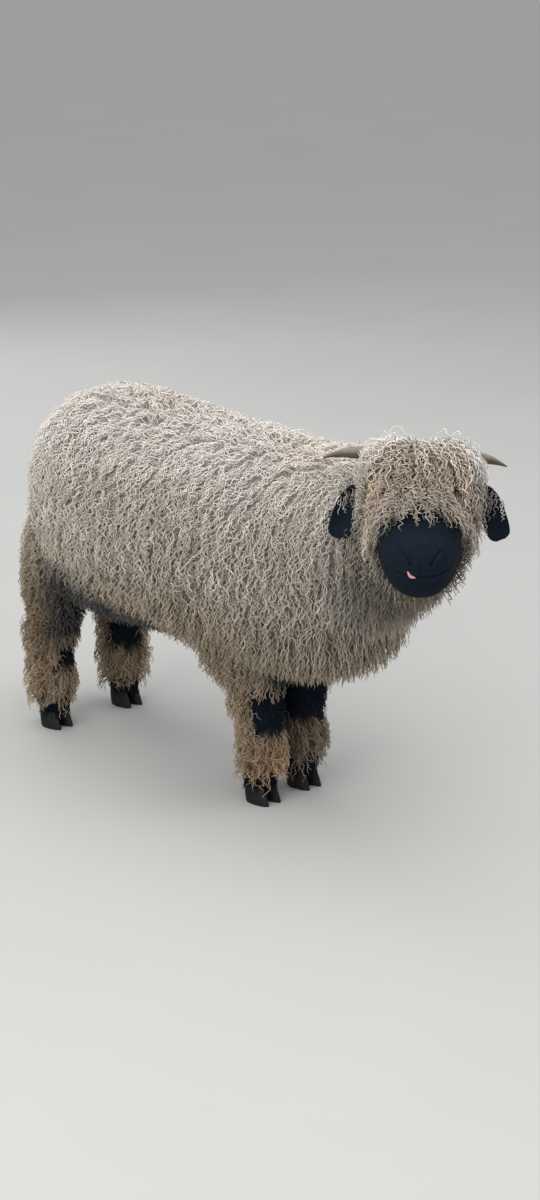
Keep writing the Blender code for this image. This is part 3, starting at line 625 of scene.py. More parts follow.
def wool_tone(places):
    """The colour of the wool at places, by height and by part."""
    x, y, height = places[..., 0], places[..., 1], places[..., 2]
    side, brow, along = head_axes(places)
    front, fore = leg_share(places)
    tone = blend(LOWER, FLANK, rise(height, 0.33, 0.60))
    tone = blend(tone, BACK, rise(height, 0.62, 0.76))
    stain = front * (x < 0) * fore * rise(height, 0.05, 0.09) * (1 - rise(height, 0.12, 0.17)) * 0.7
    # Painted shade: the wool of her left fore leg is drawn darker, at 0.62.
    boot = blend(LEG_WOOL, STAIN, stain) * np.where(fore & (x > 0), 0.62, 1.0)[..., None]
    tone = blend(boot, tone, rise(height, 0.24, 0.34))
    # Painted shade, with some dirt, under the belly and inside the thighs.
    tone = blend(tone, UNDER_SHADE, belly_shade(places) * 0.96)
    # Painted shade in the gap between the forelegs, above the knees.
    brisket_shade = np.hypot(np.hypot((x + 0.045) / 0.075, (y + 0.425) / 0.075), (height - 0.318) / 0.055)
    tone = blend(tone, UNDER_SHADE, (1 - rise(brisket_shade + 0.12 * ripple(places), 0.65, 1.15)) * 0.95)
    haunch = rise(y, 0.16, 0.30) * (1 - rise(height, 0.42, 0.62)) * (height > 0.2)
    tone = tone * (1 - haunch[..., None] * HAUNCH_SOIL)
    # Painted shade under the head, on the throat and chest, with some dirty wool.
    throat = 1 - rise(np.hypot(np.hypot(side, brow + 0.235), along - 0.10), 0.09, 0.25)
    tone = blend(tone, np.array(LOWER) * 0.45, throat * 0.9)
    on_crown = (1 - rise(crown_depth(places), 1.05, 1.35)) * rise(brow, -0.17, -0.10)
    forehead = rise(along, 0.03, 0.07) * rise(brow, -0.11, -0.08) * (np.abs(side) < 0.12)
    on_crown = np.maximum(on_crown, forehead)
    fringe = rise(along + 0.25 * brow, 0.010, 0.060) * (1 - rise(np.abs(side) - 0.45 * along, 0.050, 0.095))
    crown = blend(CROWN_WHITE, CHEEK, 1 - rise(brow, -0.04, 0.065))
    crown = blend(crown, FORELOCK, fringe)
    crown = blend(crown, CHEEK, rise(along, 0.068, 0.105) * (1 - rise(brow, 0.03, 0.06)) * 0.9)
    return blend(tone, crown, on_crown)


# Wool: every strand is a thin tapered tube of its own, rooted in the skin

STRAND_PATCH = 0.003          # how wide each strand's own part of the OFBake map is
ROOT_DEPTH = 0.0015           # how far below the skin a strand starts


def unit(rows):
    """Vectors made one long."""
    return rows / np.maximum(np.linalg.norm(rows, axis=-1, keepdims=True), 1e-9)


def store_tone(piece, colours):
    """Stores one colour for each vertex as the piece's Tone."""
    layer = piece.data.color_attributes.new("Tone", "FLOAT_COLOR", "POINT")
    layer.data.foreach_set("color", np.column_stack([colours, np.ones(len(colours))]).ravel())


class Hide:
    """A surface that wool roots in, as arrays of its triangles."""

    def __init__(self, piece):
        mesh = piece.data
        mesh.calc_loop_triangles()
        corners, loops = (read(mesh.loop_triangles, key, 3, np.int32) for key in ("vertices", "loops"))
        self.places, self.normals = (read(mesh.vertices, key, 3)[corners] for key in ("co", "normal"))
        self.uvs = read(mesh.uv_layers["OFBake"].data, "uv", 2)[loops]
        a, b, c = self.places.transpose(1, 0, 2)
        self.areas = np.linalg.norm(np.cross(b - a, c - a), axis=1) / 2
        self.tree = tree_of(piece)

    def scatter(self, spacing, wanted, rng, crowd=5.0):
        """Roots no nearer than spacing, where wanted(places, normals) holds: places, normals and UVs."""
        weights = self.areas * wanted(self.places.mean(axis=1), self.normals.mean(axis=1))
        total = weights.sum()
        picks = rng.choice(len(weights), int(crowd * total / spacing ** 2), p=weights / total)
        u, v = np.sort(rng.random((2, len(picks))), axis=0)
        shares = np.stack([u, v - u, 1 - v], axis=1)[..., None]
        places, normals, uvs = ((rows[picks] * shares).sum(axis=1)
                                for rows in (self.places, self.normals, self.uvs))
        near = list(product((-1, 0, 1), repeat=3))
        cells, kept = {}, []
        for n, (x, y, z) in enumerate(np.floor(places / spacing).astype(int).tolist()):
            gaps = (places[n] - places[other] for i, j, k in near
                    for other in cells.get((x + i, y + j, z + k), ()))
            if all(gap @ gap >= spacing * spacing for gap in gaps):
                cells.setdefault((x, y, z), []).append(n)
                kept.append(n)
        return places[kept], unit(normals)[kept], uvs[kept]


def comb(tree, places, normals, lengths, steps, way_of, fall, strays):
    """Lines that run over the surface from each root along the lie, then hang where it turns under."""
    lines = np.empty((len(places), steps + 1, 3))
    ups = np.empty_like(lines)
    for n, (place, normal) in enumerate(zip(places, normals)):
        here, up, stray = Vector(place), Vector(normal), Vector(strays[n])
        stride = lengths[n] / steps
        hanging = False
        for k in range(steps + 1):
            lines[n, k], ups[n, k] = here, up
            way = way_of(here, up) + stray
            if not hanging:
                way = (way - up * way.dot(up)).normalized()
                hanging = up.z < fall and way.z < 0.35
            if hanging:
                here = here + (way * 0.25 - Z).normalized() * stride
            else:
                here, up = tree.find_nearest(here + way * stride)[:2]
    return lines, ups


def wave(lines, ups, lift, pitch, swing, phase, curl, bow):
    """Raises combed lines off the skin and winds them into crimped strands."""
    lift, pitch, swing, phase = (value[:, None] for value in (lift, pitch, swing, phase))
    share = np.linspace(0, 1, lines.shape[1])[None, :]
    runs = np.gradient(lines, axis=1)
    length = np.linalg.norm(runs, axis=2, keepdims=True).sum(axis=1)
    turn = phase + 2 * np.pi * share * length / pitch * (1 + 0.12 * np.sin(phase * 3 + share * 5))
    wide = swing * rise(share, 0.0, 0.22)
    height = lift * (1 - (1 - share) ** 2.6) * (1 - bow * share ** 2) - ROOT_DEPTH * (1 - share)
    made = lines + ups * (height + curl * wide * np.cos(turn + 0.6))[..., None]
    return made + np.cross(ups, unit(runs)) * (wide * np.sin(turn))[..., None]


def strands(name, lines, ups, radii, uvs, tones, look, sides=3):
    """Closed tubes round lines, with a point at the tip, a Tone at each place and a small OFBake patch."""
    count, rings = lines.shape[0], lines.shape[1] - 1
    runs = unit(np.gradient(lines, axis=1))
    side = unit(np.cross(ups, runs))
    top = np.cross(runs, side)
    turn = (2 * np.pi * np.arange(sides) / sides + np.pi / 2)[None, None, :, None]
    around = side[:, :rings, None] * np.cos(turn) + top[:, :rings, None] * np.sin(turn)
    walls = lines[:, :rings, None] + around * radii[:, :rings, None, None]
    places = np.concatenate([walls.reshape(count, -1, 3), lines[:, -1:]], axis=1).reshape(-1, 3)
    colours = np.concatenate([np.repeat(tones[:, :rings], sides, axis=1), tones[:, -1:]], axis=1)
    patch = np.stack([np.append(np.tile(np.arange(sides) / sides, rings), 0.5),
                      np.append(np.repeat(np.linspace(0, 1, rings), sides), 1.0)], axis=1)
    spots = (uvs[:, None] + (patch - 0.5)[None] * STRAND_PATCH).reshape(-1, 2)
    stride, last = rings * sides + 1, (rings - 1) * sides
    pairs = [(j, (j + 1) % sides) for j in range(sides)]
    faces = [(ring + a, ring + b, ring + b + sides, ring + a + sides)
             for ring in range(0, last, sides) for a, b in pairs]
    faces += [(last + a, last + b, stride - 1) for a, b in pairs] + [tuple(range(sides))[::-1]]
    corners = np.array([corner for face in faces for corner in face])
    indices = (corners[None] + np.arange(count)[:, None] * stride).ravel().astype(np.int32)
    ends = np.cumsum(np.tile([len(face) for face in faces], count))
    mesh = bpy.data.meshes.new(name)
    mesh.vertices.add(len(places))
    mesh.vertices.foreach_set("co", places.ravel())
    mesh.loops.add(len(indices))
    mesh.loops.foreach_set("vertex_index", indices)
    mesh.polygons.add(len(ends))
    mesh.polygons.foreach_set("loop_start", np.append(0, ends[:-1]).astype(np.int32))
    mesh.update(calc_edges=True)
    mesh.polygons.foreach_set("use_smooth", np.ones(len(ends), bool))
    mesh.uv_layers.new(name="OFBake").data.foreach_set("uv", spots[indices].ravel().astype(np.float32))
    piece = bpy.data.objects.new(name, mesh)
    bpy.context.scene.collection.objects.link(piece)
    store_tone(piece, colours.reshape(-1, 3))
    mesh.materials.append(look)
    return piece


# Finishes


class Finish:
    """A material, and the nodes that make its surface uneven."""

    def __init__(self, name, roughness, specular=0.3, sheen=0.0, coat=0.0):
        self.made = bpy.data.materials.new(name)
        self.made.use_nodes = True
        self.shader = self.made.node_tree.nodes["Principled BSDF"]
        values = {"Roughness": roughness, "Specular IOR Level": specular, "Sheen Weight": sheen,
                  "Sheen Roughness": 0.6, "Coat Weight": coat, "Coat Roughness": 0.05}
        for key, value in values.items():
            self.shader.inputs[key].default_value = value

    def link(self, **sources):
        """Joins outputs to the shader's own sockets, such as Base_Color."""
        for key, source in sources.items():
            self.made.node_tree.links.new(source, self.shader.inputs[key.replace("_", " ")])

    def node(self, kind, values=None, sources=None, **settings):
        """A new node with its settings, the values of its sockets and what comes into them."""
        made = self.made.node_tree.nodes.new("ShaderNode" + kind)
        for key, value in settings.items():
            setattr(made, key, value)
        for key, value in (values or {}).items():
            made.inputs[key].default_value = value
        for key, source in (sources or {}).items():
            self.made.node_tree.links.new(source, made.inputs[key])
        return made

    def tone(self):
        return self.node("Attribute", attribute_name="Tone").outputs["Color"]

    def grain(self, scale, detail=3.0, squash=None, turn=(0, 0, 0)):
        """Noise on Object coordinates, drawn out along an axis where squash says so."""
        source = self.node("TexCoord").outputs["Object"]
        if squash:
            place = self.node("Mapping", {"Scale": squash, "Rotation": turn}, {"Vector": source})
            source = place.outputs["Vector"]
        return self.node("TexNoise", {"Scale": scale, "Detail": detail}, {"Vector": source}).outputs["Fac"]

    def spread(self, source, low, high):
        """Noise as a number from low to high."""
        ends = {"From Min": 0.3, "From Max": 0.7, "To Min": low, "To Max": high}
        return self.node("MapRange", ends, {"Value": source}).outputs["Result"]

    def tint(self, colour, amount):
        """A colour made lighter or darker by a number."""
        return self.node("Mix", {"Factor": 1.0}, {6: colour, 7: amount}, data_type="RGBA",
                         blend_type="MULTIPLY").outputs[2]

    def ramp(self, source, *stops):
        """A colour from a number, through stops of (place, colour)."""
        made = self.node("ValToRGB", sources={"Fac": source})
        elements = made.color_ramp.elements
        while len(elements) < len(stops):
            elements.new(0.5)
        for element, (at, colour) in zip(elements, stops):
            element.position, element.color = at, (*colour, 1)
        return made.outputs["Color"]

    def emboss(self, *heights):
        """Bumps one over another: (height, distance, strength)."""
        below = {}
        for height, distance, strength in heights:
            made = self.node("Bump", {"Distance": distance, "Strength": strength},
                             {"Height": height, **below})
            below = {"Normal": made.outputs["Normal"]}
        self.link(**below)
        return self.made


def toned(name, roughness, specular, sheen, mottle, *bumps):
    """A finish whose colour is the piece's own Tone, made uneven by fine noise."""
    look = Finish(name, roughness, specular, sheen)
    scale, detail, low, high = mottle
    look.link(Base_Color=look.tint(look.tone(), look.spread(look.grain(scale, detail), low, high)),
              Roughness=look.spread(look.grain(45.0), roughness - 0.08, roughness + 0.08))
    return look.emboss(*((look.grain(*how), distance, strength) for how, distance, strength in bumps))


def wool_finish():
    return toned("crimped_wool", 0.85, 0.15, 0.30, (240.0, 3.0, 0.84, 1.12), ((900.0, 2.0), 0.0006, 0.5))


def hide_finish():
    along_muzzle = tuple(MUZZLE_WAY.to_track_quat("Z", "Y").inverted().to_euler())
    return toned("short_hair_over_skin", 0.85, 0.10, 0.0, (160.0, 4.0, 0.80, 1.15),
                 ((55.0, 3.0), 0.0012, 0.35),
                 ((1.0, 3.0, (900.0, 900.0, 170.0), along_muzzle), 0.0006, 0.8))


def hair_finish():
    return toned("short_black_hair", 0.80, 0.12, 0.0, (300.0, 3.0, 0.80, 1.20), ((1100.0, 2.0), 0.0003, 0.5))


def ear_finish():
    return toned("ear_leather", 0.82, 0.10, 0.0, (120.0, 4.0, 0.80, 1.20), ((500.0, 3.0), 0.0006, 0.7))


def horn_finish():
    look = Finish("ridged_horn", 0.50, 0.35, 0.0, 0.08)
    streak = look.spread(look.grain(90.0, 5.0, (1.0, 1.0, 0.35)), 0.72, 1.12)
    look.link(Base_Color=look.tint(look.tone(), streak), Roughness=look.spread(look.grain(130.0), 0.36, 0.58))
    return look.emboss((look.grain(260.0, 4.0), 0.0008, 0.5))


def hoof_finish():
    look = Finish("worn_hoof", 0.62, 0.2)
    streak = look.grain(120.0, 4.0, (1.0, 1.0, 0.25))
    colour = look.ramp(streak, (0.30, (0.0035, 0.0035, 0.0045)), (0.75, (0.0125, 0.0110, 0.0100)))
    look.link(Base_Color=colour, Roughness=look.spread(look.grain(200.0), 0.45, 0.70))
    return look.emboss((streak, 0.0010, 0.5), (look.grain(700.0, 2.0), 0.0003, 0.4))


def tongue_finish():
    look = Finish("moist_tongue", 0.35, 0.5, 0.0, 0.4)
    colour = look.ramp(look.grain(180.0), (0.30, (0.50, 0.17, 0.20)), (0.70, (0.72, 0.34, 0.36)))
    look.link(Base_Color=colour)
    return look.emboss((look.grain(900.0, 2.0), 0.0004, 0.6))


def eye_finish():
    """Amber round a level pupil, drawn on the eye's own Gaze map."""
    look = Finish("wet_eye", 0.12, 0.5, 0.0, 1.0)
    gaze = look.node("UVMap", uv_map="Gaze").outputs["UV"]
    reaches = []
    for wide, high in ((0.30, 0.30), (0.13, 0.055)):
        moved = {"Location": (-0.5 / wide, -0.5 / high, 0), "Scale": (1 / wide, 1 / high, 0)}
        place = look.node("Mapping", moved, {"Vector": gaze}).outputs["Vector"]
        reaches.append(look.node("VectorMath", sources={0: place}, operation="LENGTH").outputs["Value"])
    iris = look.ramp(reaches[0], (0.0, (0.17, 0.075, 0.018)), (0.75, (0.24, 0.11, 0.025)),
                     (0.97, (0.030, 0.016, 0.010)), (1.0, (0.055, 0.045, 0.040)))
    look.link(Base_Color=look.tint(iris, look.ramp(reaches[1], (0.80, (0, 0, 0)), (1.0, (1, 1, 1)))))
    return look.made


def floor_finish():
    look = Finish("pale_floor", 0.9, 0.1)
    colour = look.ramp(look.grain(1.5, 4.0), (0.0, (0.44, 0.44, 0.43)), (1.0, (0.48, 0.48, 0.47)))
    look.link(Base_Color=colour)
    return look.emboss((look.grain(60.0), 0.0006, 0.2))


# The coat

FLEECE, CROWN, LEG, TAIL_WOOL = 1, 2, 3, 4
WHORL = in_head(-0.030, 0.0, 0.050)
BODY_ROOT_SHADE = ((0.35, 0.60, 0.80), (0.38, 0.50, 0.86))      # height, how light a strand's root is drawn: painted shade deep in the fleece, here and on the crown below
CROWN_ROOT_SHADE = ((0.78, 0.88), (0.16, 0.50))


def fleece_way(here, up):
    """Down and a little back with slow swirls, and every way on the back."""
    swirl = noise.noise(here * 4.0)
    top = max(0.0, up.z)
    side = max(-1.0, min(1.0, here.x / 0.14))
    way = Y * (0.25 * swirl + 0.15 * top) + X * (side * 0.50 * top) - Z
    return way + noise.noise_vector(here * 38.0) * (0.60 + 1.1 * top ** 1.6)


def crown_way(here, up):
    """Out from the whorl between the horns and down over brow, ears and cheeks."""
    out = (here - WHORL).normalized()
    return out * 0.85 + FACING * 0.20 - Z * 0.9 + noise.noise_vector(here * 45.0) * 0.35


def loop_way(here, up):
    """Any way, but sooner out to the sides."""
    off = here - WHORL
    return noise.noise_vector(here * 30.0) * 0.8 + off * 6.0 + HEAD_SIDE * (off.dot(HEAD_SIDE) * 16.0)


def leg_way(here, up):
    return -Z + noise.noise_vector(here * 55.0) * 0.9


def hair_way(here, up):
    return -MUZZLE_WAY * 0.6 - Z


def coat_tones(lines, roots, rng, dark):
    """Colours along strands: painted shade darker towards the root, each strand and each patch a little
    different.
    """
    one_each = (len(lines), 1, 1)
    share = np.linspace(0, 1, lines.shape[1])[None, :, None]
    tone = 0.5 * wool_tone(lines) + 0.5 * wool_tone(roots)[:, None]
    dark_root = np.interp(roots[:, 2], *dark)[:, None, None]
    # Painted shade deep in the fleece: each strand is drawn darker towards its root.
    shade = dark_root + (1 - dark_root) * rise(share, 0.0, 0.45)
    vary = np.where(crown_depth(roots) < 1.3, 1.6, np.interp(roots[:, 2], (0.66, 0.80), (1.0, 0.4)))
    own = 1 + rng.uniform(-0.24, 0.16, one_each) * vary[:, None, None]
    patch = np.array([noise.noise(Vector(place) * 5.5) for place in roots])[:, None, None]
    dirt = np.clip((rng.random(one_each) ** 3) * 0.55 + 0.45 * patch, 0, 0.8)
    return (tone * (1 - dirt) + tone * SOILED * dirt) * shade * own


def black_tones(lines, rng, most):
    """Black along strands, each a little different."""
    return np.broadcast_to(BLACK, lines.shape) * rng.uniform(0.7, most, (len(lines), 1, 1))


def on_skin(places):
    """Which wool grows at places, or 0 for none."""
    x, y, height = places[..., 0], places[..., 1], places[..., 2]
    side, brow, along = head_axes(places)
    kind = np.full(places.shape[:-1], FLEECE)
    cheek = (np.abs(side) < 0.10) & (brow > -0.20) & (along > -0.02)
    kind[((crown_depth(places) < 1.0) | cheek) & (along < face_limit(brow))] = CROWN
    kind[height < np.where(y < 0, 0.25, 0.275)] = LEG
    kind[(y > 0.36) & (np.abs(x) < 0.05) & (height < 0.735)] = TAIL_WOOL
    kind[black_share(places) > 0.5] = 0
    return kind


def where_grows(kind):
    """Says where one kind of wool is wanted."""
    return lambda places, normals: (on_skin(places) == kind).astype(float)


def grooves(places, many):
    """1 on the thin hollows between upright locks, 0 on the locks. Many is how close together they are."""
    cells = [abs(noise.noise(Vector((x * many, y * many, z * many * 0.21)))) for x, y, z in places.tolist()]
    return 1 - rise(cells, 0.0, 0.11)


@dataclass
class Wool:
    """How one kind of wool grows: sizes in metres, each a number or a function of places and normals."""

    spacing: float
    length: object
    steps: int
    depth: object
    pitch: float
    swing: object
    radius: float
    way: object
    curl: float = 0.45
    fall: float = -0.30
    tip: float = 0.3
    dark: tuple = BODY_ROOT_SHADE
    groove: float = 0.42
    stray: float = 0.32
    many: float = 31.0
    bow: float = 0.0

    def grow(self, hide, wanted, rng, crowd=5.0):
        """Raised lines, the ways out of the skin, roots, their UVs, radii and colours."""
        places, normals, uvs = hide.scatter(self.spacing, wanted, rng, crowd)
        count = len(places)

        def each(value):
            return value(places, normals) if callable(value) else np.full(count, value)

        lengths = each(self.length) * rng.uniform(0.75, 1.25, count)
        strays = rng.normal(0.0, self.stray, (count, 3))
        flat, ups = comb(hide.tree, places, normals, lengths, self.steps, self.way, self.fall, strays)
        hollow = grooves(places, self.many)
        if self.many < 40:
            hollow = hollow * np.interp(places[:, 2], (0.62, 0.74), (1.0, 0.3))
        open_share = 1 - self.groove * hollow
        close = 0.25 + 0.35 * rise(normals[:, 2], 0.45, 0.85)
        lift = each(self.depth) * (close + (1 - close) * np.sqrt(rng.random(count))) * open_share
        phase = rng.uniform(0, 2 * np.pi, count)
        hand = np.where(rng.random(count) < 0.5, -1.0, 1.0)
        lines = wave(flat, ups, lift, each(self.pitch) * rng.uniform(0.75, 1.3, count) * hand,
                     each(self.swing) * rng.uniform(0.6, 1.3, count), phase, self.curl, self.bow)
        taper = np.interp(np.linspace(0, 1, self.steps + 1), (0, 0.25, 0.7, 1), (0.8, 1.0, 0.85, self.tip))
        radii = each(self.radius)[:, None] * rng.uniform(0.75, 1.25, (count, 1)) * taper[None]
        # Painted shade: strands in the hollows between locks are drawn darker by open_share.
        tones = coat_tones(lines, places, rng, self.dark) * open_share[:, None, None]
        return {"lines": lines, "ups": ups, "roots": places, "uvs": uvs, "radii": radii, "tones": tones}


def piece_of(name, grown, look, group=slice(None)):
    return strands(name, *(grown[key][group] for key in ("lines", "ups", "radii", "uvs", "tones")), look)


def body_fleece(hide, look):
    rng = np.random.default_rng(SEED)

    def depth(places, normals):
        return 0.012 + 0.013 * rise(places[:, 2], 0.30, 0.42)

    def length(places, normals):
        middle = 1 - rise(np.abs(places[:, 1] - 0.02), 0.14, 0.24)
        low = np.where(places[:, 1] < 0, 0.25, 0.28) + 0.10 * middle
        belly, back = rise(-normals[:, 2], 0.25, 0.7), rise(normals[:, 2], 0.55, 0.95)
        return (0.022 + 0.034 * rise(places[:, 2], low, low + 0.17)) * (1 - 0.40 * belly) * (1 - 0.25 * back)

    def swing(places, normals):
        calm, shoulder = rise(normals[:, 2], 0.45, 0.95), rise(-places[:, 1], 0.10, 0.40)
        return (0.0039 - 0.0007 * shoulder) * (1 - 0.30 * calm)

    kind = Wool(0.0072, length, 10, depth, 0.0178, swing, 0.00145, fleece_way, 0.9)
    grown = kind.grow(hide, where_grows(FLEECE), rng)
    names = ("neck", "shoulder", "flank", "rump")
    made = []
    for flank, sign in SIDES.items():
        mine = np.flatnonzero(grown["roots"][:, 0] * sign > 0)
        order = mine[np.argsort(grown["roots"][mine, 1])]
        made += [piece_of(f"fleece_{name}_{flank}", grown, look, group)
                 for name, group in zip(names, np.array_split(order, len(names)))]
    return made


def crown_wool(hide, look):
    """Dense curls from the whorl over the brow, with loose loops standing out on top."""
    rng = np.random.default_rng(SEED + 1)

    def brow_edge(places, normals):
        _, brow, along = head_axes(places)
        return ((on_skin(places) == CROWN) & (along > 0.050) & (brow > -0.085)).astype(float)

    def top(places, normals):
        side, brow, along = head_axes(places)
        edge = rise(np.abs(side), 0.045, 0.080)
        return ((on_skin(places) == CROWN) & (brow > 0.0) & (along < 0.05)) * (0.02 + edge)

    def fringe_length(places, normals):
        return 0.084 - 0.014 * rise(np.abs(head_axes(places)[0]), 0.02, 0.07)

    def curl_depth(places, normals):
        side, brow, along = head_axes(places)
        whorl = 1 - rise(np.hypot(side, along + 0.03), 0.012, 0.045)
        return (0.027 - 0.014 * whorl) * (1 - 0.5 * (1 - rise(brow, -0.13, -0.05)))

    def curl_length(places, normals):
        return 0.052 + 0.026 * rise(head_axes(places)[1], -0.12, -0.06)

    dense = {"curl": 0.9, "tip": 0.35, "dark": CROWN_ROOT_SHADE, "groove": 0.72, "many": 62.0}
    curls = Wool(0.0067, curl_length, 17, curl_depth, 0.0165, 0.0048, 0.0017, crown_way, fall=-0.05, **dense)
    fringe = Wool(0.0052, fringe_length, 18, 0.024, 0.0160, 0.0046, 0.0015, crown_way, fall=0.25, **dense)
    loops = Wool(0.0085, 0.085, 24, 0.040, 0.0330, 0.0085, 0.0008, loop_way, 1.0, -0.9, 0.5, bow=0.7)
    made = []
    grown = [kind.grow(hide, wanted, rng)
             for kind, wanted in ((curls, where_grows(CROWN)), (fringe, brow_edge), (loops, top))]
    for kind, part, ends in zip(("curls", "fringe", "loops"), grown,
                                (("_right", "_left"), ("_right", "_left"), ("",))):
        order = np.argsort(head_axes(part["roots"])[0])
        made += [piece_of("crown_" + kind + end, part, look, group)
                 for end, group in zip(ends, np.array_split(order, len(ends)))]
    return made


def leg_wool(hide, look):
    def length(places, normals):
        return 0.026 + 0.012 * rise(places[:, 2], 0.09, 0.15)

    def depth(places, normals):
        behind = (1 - leg_share(places)[0]) * (places[:, 1] > 0)
        even = 0.023 - 0.010 * rise(places[:, 2], 0.12, 0.18) + 0.004 * rise(places[:, 2], 0.20, 0.26)
        return even + 0.007 * (places[:, 1] < 0) + 0.012 * behind

    kind = Wool(0.0050, length, 8, depth, 0.0150, 0.0030, 0.0011, leg_way, 0.8)
    grown = kind.grow(hide, where_grows(LEG), np.random.default_rng(SEED + 2))
    sides = np.sign(grown["roots"][:, :2])
    return [piece_of("leg_wool_" + name, grown, look, np.flatnonzero((sides == np.sign(foot)).all(axis=1)))
            for name, foot in FEET.items()]


def tail_wool(hide, look):
    kind = Wool(0.0085, 0.060, 12, 0.0160, 0.0220, 0.0040, 0.0016, leg_way, 0.8)
    grown = kind.grow(hide, where_grows(TAIL_WOOL), np.random.default_rng(SEED + 3))
    return [piece_of("tail_wool", grown, look)]


def ear_curls(ears, look):
    """Loose curls over the upper half of each ear."""
    rng = np.random.default_rng(SEED + 5)
    kind = Wool(0.0050, 0.034, 11, 0.010, 0.0130, 0.0030, 0.0013, leg_way, 0.85, -0.9, 0.4)
    made = []
    for flank, piece in ears.items():
        top = on_side(EAR_ROOT, flank).z

        def upper(places, normals):
            return np.clip(1.0 - (top - places[:, 2]) / 0.034, 0, 1)

        made.append(piece_of("ear_curls_" + flank, kind.grow(Hide(piece), upper, rng, 3.0), look))
    return made


def short_hair(hide, look):
    """Tiny tufts of black hair on the face, knees, hocks and feet."""
    rng = np.random.default_rng(SEED + 4)
    places, normals, uvs = hide.scatter(0.0034, lambda p, n: (black_share(p) > 0.6).astype(float), rng, 3.0)
    on_leg, on_foot = rise(-places[:, 2], -0.35, -0.30), rise(-places[:, 2], -0.100, -0.085)
    lengths = (0.0060 + 0.0050 * on_leg + 0.0080 * on_foot) * rng.uniform(0.8, 1.2, len(places))
    flat, ups = comb(hide.tree, places, normals, lengths, 1, hair_way, -2.0, np.zeros_like(places))
    tips = 0.0012 + (0.0030 * on_leg + 0.0030 * on_foot) * rng.random(len(places))
    lines = flat + ups * np.stack([np.full(len(places), -0.0006), tips], axis=1)[..., None]
    radii = np.full((len(lines), 2), 0.0006)
    return [strands("short_hair", lines, ups, radii, uvs, black_tones(lines, rng, 1.5), look)]


def black_tufts(hide, look):
    """Longer black hair that breaks the edges of the knees and hocks and hangs over the claws."""
    rng = np.random.default_rng(SEED + 6)

    def length(places, normals):
        return 0.015 + 0.008 * rise(-places[:, 2], -0.10, -0.08)

    def wanted(places, normals):
        return ((black_share(places) > 0.5) & (places[:, 2] < 0.32)).astype(float)

    grown = Wool(0.0048, length, 4, 0.0090, 0.0240, 0.0012, 0.0010, leg_way, 0.6).grow(hide, wanted, rng)
    grown["tones"] = black_tones(grown["lines"], rng, 1.6)
    return [piece_of("black_tufts", grown, look)]


def tone_skin(skin):
    """Writes the markings on the skin, with painted shade between the wool's roots."""
    places = read(skin.data.vertices, "co", 3)
    store_tone(skin, blend(wool_tone(places) * SKIN_SHADE, BLACK, black_share(places)))


# Ears, horns, eyes, tongue and claws

EAR_ROOT = (0.018, 0.060, -0.036)         # along, side, brow
EAR = (                       # outwards, down, back, half width
    (-4, 0, 0, 11),
    (14, 1, 0, 14),
    (38, 4, 0, 18),
    (66, 18, 2, 21.5),
    (80, 46, 4, 23.5),
    (90, 76, 4, 24.5),
    (97, 97, 3, 20.5),
    (100, 105, 3, 9),
)
EAR_CUP, EAR_THICK = 0.009, 0.0042
EAR_DOWN, EAR_ACROSS = 26, 12             # faces of the grid
HORN_ROOT = (-0.006, 0.030, -0.020)
HORN = (                      # outwards, up, back, radius
    (0, 0, 0, 16.5),
    (36, 23, 6, 16.5),
    (74, 35, 12, 14.2),
    (108, 36, 18, 10.4),
    (136, 31, 22, 5.8),
    (158, 24, 24, 1.2),
)
HORN_REACH = HORN[-1][0] / 1000
HORN_FLATTER = 0.18           # share taken off its thickness from front to back
HORN_LENGTH = {"right": 1.0, "left": 0.88}
HORN_DROOP = {"right": 0.0, "left": 0.014}
HORN_PALE, HORN_BROWN, HORN_TIP = (0.19, 0.175, 0.14), (0.045, 0.026, 0.016), (0.13, 0.075, 0.04)
CLAW_HALF_WIDTH, CLAW_LENGTH, CLAW_TOE, CLEFT = 0.0150, 0.066, 0.012, 0.0025


def ear(flank, look):
    """A drooping leaf, cupped on its front face, from a flat grid."""
    out, root = HEAD_SIDE * SIDES[flank], on_side(EAR_ROOT, flank)
    rows = smooth_rows(EAR, EAR_DOWN + 1)
    line = [root + out * row[0] - Z * row[1] - FACING * row[2] for row in rows]
    piece = start("cupped_ear_" + flank, bpy.ops.mesh.primitive_grid_add, x_subdivisions=EAR_ACROSS,
                  y_subdivisions=EAR_DOWN, size=2.0)
    for vert in piece.data.vertices:
        u, share = vert.co.x, (vert.co.y + 1) / 2
        k = min(int(round(share * EAR_DOWN)), EAR_DOWN)
        along = (line[min(k + 1, EAR_DOWN)] - line[max(k - 1, 0)]).normalized()
        broad = FACING.cross(along).normalized()
        front = broad.cross(along)
        if front.dot(FACING) < 0:
            front = -front
        cup = EAR_CUP * math.sin(math.pi * min(max(share, 0.02), 0.98)) ** 0.7
        roll = 0.0025 * math.sin(share * 9.0 + u * 1.3)
        vert.co = line[k] + broad * (u * max(rows[k][3], 0.002)) + front * (cup * (u * u - 0.6) + roll)
    fix_outside(piece)
    wall = piece.modifiers.new("wall", "SOLIDIFY")
    wall.thickness, wall.offset = EAR_THICK, 0.0
    soft = piece.modifiers.new("soft", "SUBSURF")
    soft.levels = soft.render_levels = 1
    apply_all(piece)
    fix_outside(piece)
    unwrap(piece)
    store_tone(piece, np.tile(BLACK, (len(piece.data.vertices), 1)))
    return dress(piece, look)


